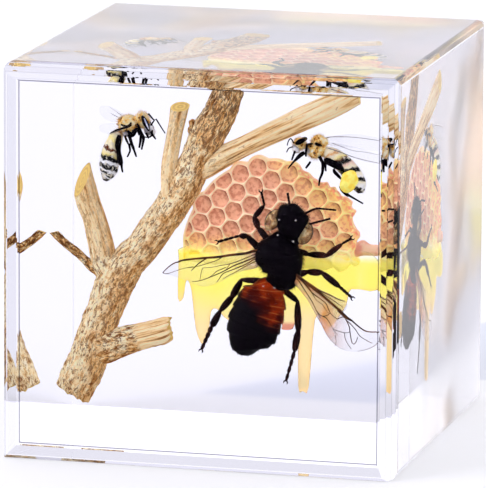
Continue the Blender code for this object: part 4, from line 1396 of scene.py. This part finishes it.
RIGHT_VEINS = (
    (((6.6, 17.9), (7.15, 17.45), (8.24, 16.6), (9.07, 16.02), (10.03, 15.32), (10.93, 14.61),
      (11.4, 14.2)), 0.14, 0.9),
    (((11.2, 14.35), (11.82, 13.78), (12.2, 13.5), (12.59, 13.32)), 0.21, 0.5),
    (((12.59, 13.32), (13.23, 12.79), (13.87, 12.38), (14.44, 12.26), (15.15, 12.3)), 0.08, 0.7),
    (((6.7, 17.8), (7.34, 17.37), (8.75, 16.44), (9.39, 16.1), (10.28, 15.77), (11.05, 15.41),
      (11.81, 15.2)), 0.075, 0.5),
    (((8.75, 16.44), (9.77, 15.74), (10.67, 15.23), (11.69, 14.59)), 0.05, 0.6),
    (((6.9, 17.5), (7.4, 17.1), (8.43, 15.98), (9.27, 15.4), (9.91, 14.93), (10.17, 14.32),
      (10.43, 13.82), (11.07, 13.36)), 0.08, 0.5),
    (((6.8, 17.3), (7.15, 16.99), (7.99, 15.71), (8.5, 14.98), (8.96, 14.12),
      (9.35, 13.38)), 0.07, 0.5),
    (((7.5, 17.0), (8.11, 16.47), (8.5, 15.86), (8.95, 15.13), (9.53, 14.78), (9.91, 14.17),
      (10.3, 13.82)), 0.06, 0.5),
    (((9.41, 13.64), (9.79, 13.54), (10.18, 13.18), (10.69, 12.32), (11.14, 11.72)), 0.06, 0.4),
    (((8.96, 14.12), (9.41, 13.64), (10.04, 13.68), (10.3, 13.94)), 0.05, 0.7),
    (((11.89, 13.53), (12.28, 12.73), (12.38, 12.11), (12.55, 11.29), (12.74, 10.89),
      (12.99, 11.07), (13.18, 11.65)), 0.06, 0.6),
    (((12.0, 13.3), (12.21, 13.17), (12.92, 12.45), (13.37, 11.78), (14.14, 11.32),
      (14.71, 11.1)), 0.05, 0.6),
    (((11.07, 13.36), (11.64, 13.64), (11.89, 13.53)), 0.05, 0.8),
    (((10.89, 11.7), (10.96, 10.95), (10.84, 10.6)), 0.035, 0.8),
    (((11.84, 12.01), (11.98, 11.26), (12.56, 10.41)), 0.035, 0.8),
    (((10.69, 12.32), (11.84, 12.01), (12.38, 12.11)), 0.035, 0.8),
    (((15.15, 12.3), (15.4, 11.7), (15.1, 11.0), (14.3, 10.5), (13.2, 10.2)), 0.03, 0.7),
)


def film_finish(name, clear, brown, alpha, veil):
    """A wing's film: clear, with brownish patches where the two sides lie together."""
    material, board = finish(name)
    place = board.place()
    x = board.part(place, 0) * PER_METRE
    cloud = board.noise({"Vector": place, "Scale": 420.0, "Detail": 3.0})
    near = 1 - board.band(board.node("Math", {"operation": "ABSOLUTE"}, {0: x - 6.5}) + cloud * 2,
                          4.0, 7.4)
    share = near * (0.55 + board.band(cloud, 0.40, 0.66) * 0.45)
    bump = board.bump(cloud, 0.2, 0.0001)
    board.skin({
        "Base Color": board.mix(share, clear, brown), "Roughness": 0.25,
        "Specular IOR Level": 0.05, "Alpha": alpha + share * veil, "Normal": bump})
    return material


def vein_finish():
    material, board = finish("wing_vein")
    place = board.place()
    cloud = board.noise({"Vector": place, "Scale": 700.0, "Detail": 2.0})
    colour = board.mix(board.band(cloud, 0.4, 0.65), rgb(40, 18, 8), rgb(104, 58, 22))
    board.skin({
        "Base Color": colour, "Roughness": 0.5, "Specular IOR Level": 0.15})
    return material


def hind_depth(x, z):
    return wing_depth(x, z) + 0.38


wing_film = film_finish("wing_film", rgb(214, 210, 216), rgb(236, 152, 54), 0.09, 0.56)
wing_vein = vein_finish()
piece("bee_left_wing", film(LEFT_WING), wing_film, "dark_insect", "honeybee")
piece("bee_right_wing", film(RIGHT_WING), wing_film, "dark_insect", "honeybee")
piece("bee_right_hind_wing", film(RIGHT_HIND_WING, hind_depth), wing_film, "dark_insect",
      "honeybee")
piece("bee_wing_veins", joined([vein(points, radius, taper=taper) for points, radius, taper
                                in LEFT_VEINS + RIGHT_VEINS]), wing_vein, "dark_insect",
      "honeybee")

# %% [markdown]
# ## The small bees
#
# The two small bees in the layer show a live bee's colours: golden fur on the
# thorax, and an abdomen banded in black, gold and white. Each is built as the
# large one is, from wrapped runs, with fur, stout and thin legs, and clear wings
# that show little more than a vein or two. The bands are painted by how far along
# the abdomen a point lies. Noise and pale tufts break them up, and the flying
# bee's eye has a painted glint: a pale strand on its front.

# %% Small bee finishes
def banded_finish(name, stops, slant):
    material, board = finish(name)
    place = board.place()
    along = board.carried("along")
    run = board.carried("grain", 1)
    across = board.part(run, 0)
    fray = board.noise({"Vector": place, "Scale": 2600.0, "Detail": 3.0})
    patch = board.noise({"Vector": place, "Scale": 1100.0, "Detail": 1.0})
    colour = board.node("ValToRGB", {"stops": stops}, {
        0: along + across * slant + (fray - 0.5) * 0.12 + (patch - 0.5) * 0.10})
    # Pale tufts of hair break the bands up.
    tufts = board.noise({"Vector": place, "Scale": 1800.0, "Detail": 2.0})
    colour = board.mix(board.band(tufts, 0.58, 0.63) * 0.7, colour, rgb(250, 242, 216))
    bump = board.bump(fray, 0.4, 0.0001)
    board.skin({
        "Base Color": colour, "Roughness": 0.5 + fray * 0.2, "Specular IOR Level": 0.15,
        "Normal": bump})
    return material


def fur_finish():
    """The skin under the fur: gold with black and cream tufts."""
    material, board = finish("fur_skin")
    place = board.place()
    tufts = board.noise({"Vector": place, "Scale": 1500.0, "Detail": 3.0,
                                          "Roughness": 0.7})
    colour = board.node("ValToRGB", {"stops": (
        (0.36, rgb(34, 22, 14)), (0.40, rgb(210, 138, 56)), (0.47, rgb(255, 210, 112)),
        (0.56, rgb(255, 238, 180)), (0.66, rgb(255, 254, 246)))}, {0: tufts})
    bump = board.bump(tufts, 0.4, 0.0001)
    board.skin({
        "Base Color": colour, "Roughness": 0.8, "Specular IOR Level": 0.03, "Normal": bump})
    return material


BLACK, WHITE = rgb(10, 8, 12), rgb(255, 255, 252)
GOLD, CREAM, STRAW = rgb(226, 160, 76), rgb(255, 244, 206), rgb(255, 236, 150)
BROWN, ROSY = rgb(110, 56, 26), rgb(240, 200, 176)
flying_bands = banded_finish("flying_bee_bands", (
    (0.00, GOLD), (0.07, CREAM), (0.20, STRAW), (0.35, CREAM), (0.37, BROWN), (0.41, BROWN),
    (0.43, CREAM), (0.50, STRAW), (0.535, BLACK), (0.60, BLACK), (0.62, WHITE), (0.665, WHITE),
    (0.69, BLACK), (0.755, BLACK), (0.775, WHITE), (0.81, WHITE), (0.83, BLACK), (0.88, BLACK),
    (0.895, WHITE), (0.92, WHITE), (0.94, BLACK), (1.00, BLACK)), -0.03)
pollen_bands = banded_finish("pollen_bee_bands", (
    (0.00, CREAM), (0.10, CREAM), (0.14, GOLD), (0.19, CREAM), (0.26, STRAW), (0.30, BROWN),
    (0.33, BLACK), (0.40, BLACK), (0.43, ROSY), (0.50, CREAM), (0.53, BLACK), (0.60, BLACK),
    (0.62, CREAM), (0.69, WHITE), (0.71, BLACK), (0.77, BLACK), (0.79, CREAM), (0.87, WHITE),
    (0.89, BLACK), (1.00, BLACK)), -0.10)
gold_fur = hair_finish("gold_fur", rgb(238, 184, 110), rgb(255, 244, 206))
pale_fur = hair_finish("pale_fur", rgb(232, 222, 200), rgb(255, 252, 244))
fur_skin = fur_finish()
painted_eye_glint = hair_finish("painted_eye_glint", rgb(196, 202, 230), rgb(255, 255, 255))
pale_face = hair_finish("pale_face", rgb(150, 146, 150), rgb(250, 248, 248))
small_black = shell_finish("small_black_shell", 0.0)
grey_vein = hair_finish("grey_vein", rgb(120, 112, 116), rgb(176, 166, 160), 0.8)
small_film = film_finish("small_wing_film", rgb(206, 206, 216), rgb(206, 206, 216), 0.05, 0.08)
print("Small bees use", len({m.name for m in (flying_bands, pollen_bands, gold_fur, pale_fur)}),
      "finishes of their own")

# %% Parts of a small bee
def strands(runs, y, sides=10, step=0.09, rough=0.0):
    """Legs, feelers or strokes: thin runs of (x, z, radius) at one depth."""
    shapes = []
    for n, run in enumerate(runs):
        relief = ridges(50.0 + n, rough, 1.0) if rough else None
        shapes.append(body_run(run, y, sides=sides, step=step, relief=relief))
    return joined(shapes)


def small_bee(name, y, tail, bands, balls, face, legs, stout, eye, feelers, wings, lines,
              glint=()):
    """Body, fur, legs and wings of one small bee. balls are (x, z, radius, squash, turn)."""
    def add(part, bm, material):
        return piece(f"{name}_{part}", bm, material, "banded_insect", name)

    end = add("abdomen", body_run(tail, y, sides=44, step=0.07, flat=0.85,
                                  relief=ridges(41.0, 0.04, 1.0)), bands)
    chest = add("thorax", joined([
        roughened(ball(x, y - 0.1, z, r, r * 0.6, r * squash, turn), (x, y, z), 0.12, 1.9)
        for x, z, r, squash, turn in balls]), fur_skin)
    mask = add("face", joined([roughened(ball(x, y - 0.25, z, r, r * 0.9, r * squash, turn),
                                         (x, y, z), 0.10, 2.4)
                               for x, z, r, squash, turn in face]), pale_face)
    add("legs", joined([strands(legs, y - 0.7, rough=0.03),
                        strands(stout, y - 0.75, 20, 0.06, 0.05)]), small_black)
    add("eyes", joined([strands([eye], y - 0.75, 24, 0.05), strands([eye], y + 0.45, 24, 0.05)]),
        small_black)
    add("feelers", strands(feelers, y - 0.5, 8), small_black)
    # The glint is a painted highlight, a pale strand laid on the eye.
    if glint:
        add("painted_eye_glint", strands([glint], y - 0.99, 12, 0.05), painted_eye_glint)
    add("fur", joined([grow(surface_copy(chest), 1600, 0.36, 0.015, (0, 0, 0.1)),
                       grow(surface_copy(mask), 300, 0.2, 0.012, (0, 0, 0.1))]), gold_fur)
    add("tail_fur", grow(surface_copy(end), 1100, 0.22, 0.011, (0, -0.2, -0.5)), pale_fur)
    add("wings", joined([film(outline, lambda x, z, d=depth: y + d, 0.18, 0.012)
                         for outline, depth in wings]), small_film)
    add("wing_veins", joined([vein(points, radius, lambda x, z, d=depth: y + d, 0.5)
                              for points, radius, depth in lines]), grey_vein)


print("Ready to build the small bees")

# %% The flying bee
small_bee(
    "flying_bee", LAYER_Y - 0.2,
    ((-12.5, 30.85, 0.3), (-12.6, 30.56, 0.5), (-12.8, 30.09, 0.7), (-13.08, 29.46, 0.8),
     (-13.33, 28.73, 0.88), (-13.5, 27.9, 0.96), (-13.55, 27.19, 0.98), (-13.62, 26.57, 0.86),
     (-13.8, 26.05, 0.58), (-13.98, 25.58, 0.2)),
    flying_bands,
    ((-11.53, 31.49, 1.05, 0.95, 0), (-10.1, 32.0, 0.78, 1.05, 10)),
    ((-9.35, 31.1, 0.48, 1.3, -20), (-9.0, 30.75, 0.3, 1.2, -30), (-11.7, 30.55, 0.42, 0.8, 20)),
    (((-12.14, 27.5, 0.14), (-12.1, 27.1, 0.11), (-12.01, 26.6, 0.08)),
     ((-11.3, 30.5, 0.2), (-11.22, 30.04, 0.17), (-11.01, 29.43, 0.15), (-10.81, 28.93, 0.12),
      (-10.58, 28.25, 0.09)),
     ((-11.35, 29.6, 0.14), (-11.29, 29.22, 0.12), (-11.25, 28.81, 0.1), (-11.53, 28.2, 0.08)),
     ((-10.1, 30.5, 0.16), (-10.15, 29.97, 0.13), (-10.28, 29.2, 0.09)),
     ((-10.13, 30.81, 0.17), (-9.83, 30.28, 0.15), (-9.91, 29.69, 0.12), (-10.04, 29.03, 0.08)),
     ((-9.59, 30.77, 0.12), (-9.38, 30.41, 0.1), (-9.3, 30.2, 0.06)),
     ((-9.07, 30.94, 0.12), (-8.85, 30.56, 0.12), (-8.56, 30.15, 0.07)),
     ((-12.2, 31.5, 0.07), (-11.71, 31.33, 0.11), (-11.31, 31.44, 0.11), (-11.12, 31.74, 0.07)),
     ((-13.3, 30.55, 0.04), (-12.69, 30.89, 0.08), (-11.51, 31.29, 0.11), (-11.12, 31.55, 0.09)),
     ((-10.52, 31.68, 0.09), (-10.13, 30.92, 0.14), (-9.88, 30.16, 0.09)),
     ((-11.41, 30.86, 0.09), (-11.25, 30.45, 0.15), (-11.0, 30.4, 0.16), (-10.72, 30.7, 0.13),
      (-11.01, 30.98, 0.08)),
     ((-9.83, 30.36, 0.05), (-9.34, 30.33, 0.06), (-8.99, 30.54, 0.07), (-8.93, 31.08, 0.06)),
     ((-11.8, 30.36, 0.09), (-11.6, 29.88, 0.12), (-11.41, 29.51, 0.08))),
    (((-12.35, 30.4, 0.18), (-12.43, 29.93, 0.28), (-12.5, 29.26, 0.3), (-12.41, 28.65, 0.22),
      (-12.31, 28.07, 0.28), (-12.22, 27.57, 0.26), (-12.16, 27.35, 0.14)),
     ((-11.5, 30.9, 0.10), (-11.1, 30.55, 0.2), (-10.8, 30.8, 0.24), (-10.45, 31.05, 0.18),
      (-10.25, 30.5, 0.10)),),
    ((-10.02, 32.5, 0.1), (-9.85, 32.2, 0.24), (-9.62, 31.75, 0.29), (-9.42, 31.38, 0.24),
     (-9.28, 31.0, 0.1)),
    (((-9.4, 32.72, 0.09), (-9.3, 32.63, 0.1), (-8.76, 32.07, 0.08), (-8.58, 32.19, 0.08),
      (-8.18, 31.6, 0.07), (-7.62, 30.78, 0.06)),
     ((-9.1, 31.5, 0.09), (-8.97, 31.76, 0.08), (-8.71, 32.13, 0.06))),
    (([(-11.2, 31.6), (-12.8, 32.9), (-14.4, 33.2), (-14.6, 32.4), (-13.4, 31.6)], 0.35),
     ([(-11.4, 31.2), (-12.8, 31.6), (-14.4, 31.3), (-14.3, 30.6), (-12.6, 30.4)], -0.35)),
    ((((-12.0, 31.8), (-12.58, 32.05), (-13.48, 32.48)), 0.045, 0.3),
     (((-11.1, 31.66), (-11.81, 31.1), (-12.77, 30.7), (-13.49, 30.42)), 0.06, -0.4),
     (((-12.3, 32.3), (-13.6, 33.1)), 0.03, 0.3)),
    ((-9.74, 32.3, 0.04), (-9.63, 32.05, 0.07), (-9.46, 31.65, 0.08), (-9.26, 31.2, 0.04)))

# %% The bee with pollen
small_bee(
    "pollen_bee", LAYER_Y - 0.3,
    ((8.7, 29.8, 0.3), (9.05, 29.65, 0.6), (9.6, 29.35, 0.82), (10.25, 28.95, 0.9),
     (10.95, 28.4, 0.93), (11.55, 27.75, 0.93), (12.1, 27.0, 0.88), (12.45, 26.3, 0.68),
     (12.58, 25.7, 0.28)),
    pollen_bands,
    ((8.07, 29.84, 1.02, 0.85, 20), (8.3, 30.7, 0.85, 0.8, -10), (6.3, 30.35, 0.72, 0.9, 0)),
    ((5.95, 29.95, 0.42, 1.2, 20), (7.2, 29.8, 0.36, 1.0, 0)),
    (((8.4, 29.3, 0.18), (8.74, 28.66, 0.16), (8.78, 28.1, 0.16), (8.71, 27.54, 0.13),
      (8.48, 26.97, 0.1), (8.38, 26.29, 0.07)),
     ((9.0, 29.1, 0.14), (9.03, 28.62, 0.13), (9.09, 27.81, 0.08)),
     ((5.94, 28.77, 0.12), (5.73, 28.56, 0.1), (5.2, 27.88, 0.07)),
     ((5.9, 29.7, 0.11), (5.78, 29.37, 0.1), (5.57, 28.75, 0.07)),
     ((7.16, 30.51, 0.12), (7.06, 29.84, 0.12), (7.01, 29.2, 0.09)),
     ((7.97, 30.61, 0.12), (8.26, 30.46, 0.16), (8.66, 30.37, 0.10)),
     ((7.17, 30.46, 0.07), (7.45, 30.5, 0.1), (7.74, 30.54, 0.07)),
     ((7.5, 28.7, 0.1), (7.28, 28.36, 0.11), (7.02, 28.01, 0.07)),
     ((11.27, 25.58, 0.14), (11.79, 25.31, 0.1), (12.96, 24.71, 0.07))),
    (((6.9, 29.6, 0.16), (6.7, 29.49, 0.2), (6.34, 29.2, 0.2), (5.94, 28.77, 0.12)),
     ((9.0, 29.0, 0.2), (9.34, 28.84, 0.34), (9.97, 28.55, 0.36), (10.63, 28.22, 0.3),
      (10.9, 28.0, 0.15)),
     ((10.6, 26.4, 0.14), (10.85, 26.02, 0.24), (11.27, 25.58, 0.2), (11.5, 25.4, 0.1)),
     ((9.9, 28.1, 0.1), (10.0, 27.8, 0.17), (10.43, 27.37, 0.15), (10.7, 27.1, 0.08))),
    ((5.95, 30.42, 0.1), (6.15, 30.53, 0.22), (6.45, 30.7, 0.27), (6.75, 30.85, 0.22),
     (6.95, 30.93, 0.1)),
    (((5.75, 30.45, 0.07), (5.45, 30.9, 0.07), (5.2, 30.7, 0.06), (5.05, 30.2, 0.05)),
     ((5.6, 30.1, 0.06), (5.2, 29.9, 0.06), (5.0, 29.5, 0.05))),
    (([(8.4, 31.0), (11.5, 31.6), (14.4, 31.3), (15.3, 30.6), (14.4, 30.0), (11.6, 30.2),
       (9.0, 30.4)], 0.3),
     ([(8.6, 30.8), (11.8, 30.4), (14.0, 29.8), (14.6, 29.2), (13.8, 28.8), (11.4, 29.4)],
      -0.2)),
    ((((8.8, 31.0), (9.37, 31.2), (11.18, 31.29), (12.61, 31.24), (14.36, 31.07)), 0.05, 0.3),
     (((9.6, 30.6), (11.63, 29.97), (12.97, 29.86), (14.51, 29.63)), 0.035, 0.1),
     (((9.32, 30.16), (10.61, 29.79), (12.2, 29.3), (14.63, 28.86)), 0.055, -0.6)))

# %% [markdown]
# The second small bee carries pollen, packed in a ball on its hind leg.

# %% Pollen
def pollen_finish():
    material, board = finish("pollen")
    place = board.place()
    grains = board.node("TexVoronoi", None, {"Vector": place, "Scale": 5200.0})
    cloud = board.noise({"Vector": place, "Scale": 1500.0, "Detail": 2.0})
    colour = board.mix(board.band(cloud, 0.38, 0.6), rgb(255, 224, 82), rgb(255, 242, 122))
    bump = board.bump(grains, 0.6, 0.0001)
    board.skin({
        "Base Color": colour, "Roughness": 0.8, "Specular IOR Level": 0.05,
        "Emission Color": colour, "Emission Strength": 0.15, "Normal": bump})
    return material


grain_ball = roughened(ball(11.5, LAYER_Y - 1.2, 26.92, 0.86, 0.7, 1.2, -20),
                       (11.5, LAYER_Y - 1.2, 26.92), 0.12, 1.8)
piece("pollen_ball", grain_ball, pollen_finish(), "banded_insect", "pollen_bee")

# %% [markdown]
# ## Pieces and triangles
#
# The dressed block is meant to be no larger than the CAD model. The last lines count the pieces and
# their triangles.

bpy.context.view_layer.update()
triangles = sum(len(p.vertices) - 2 for obj in made for p in obj.data.polygons)
print(len(made), "pieces,", triangles, "triangles")
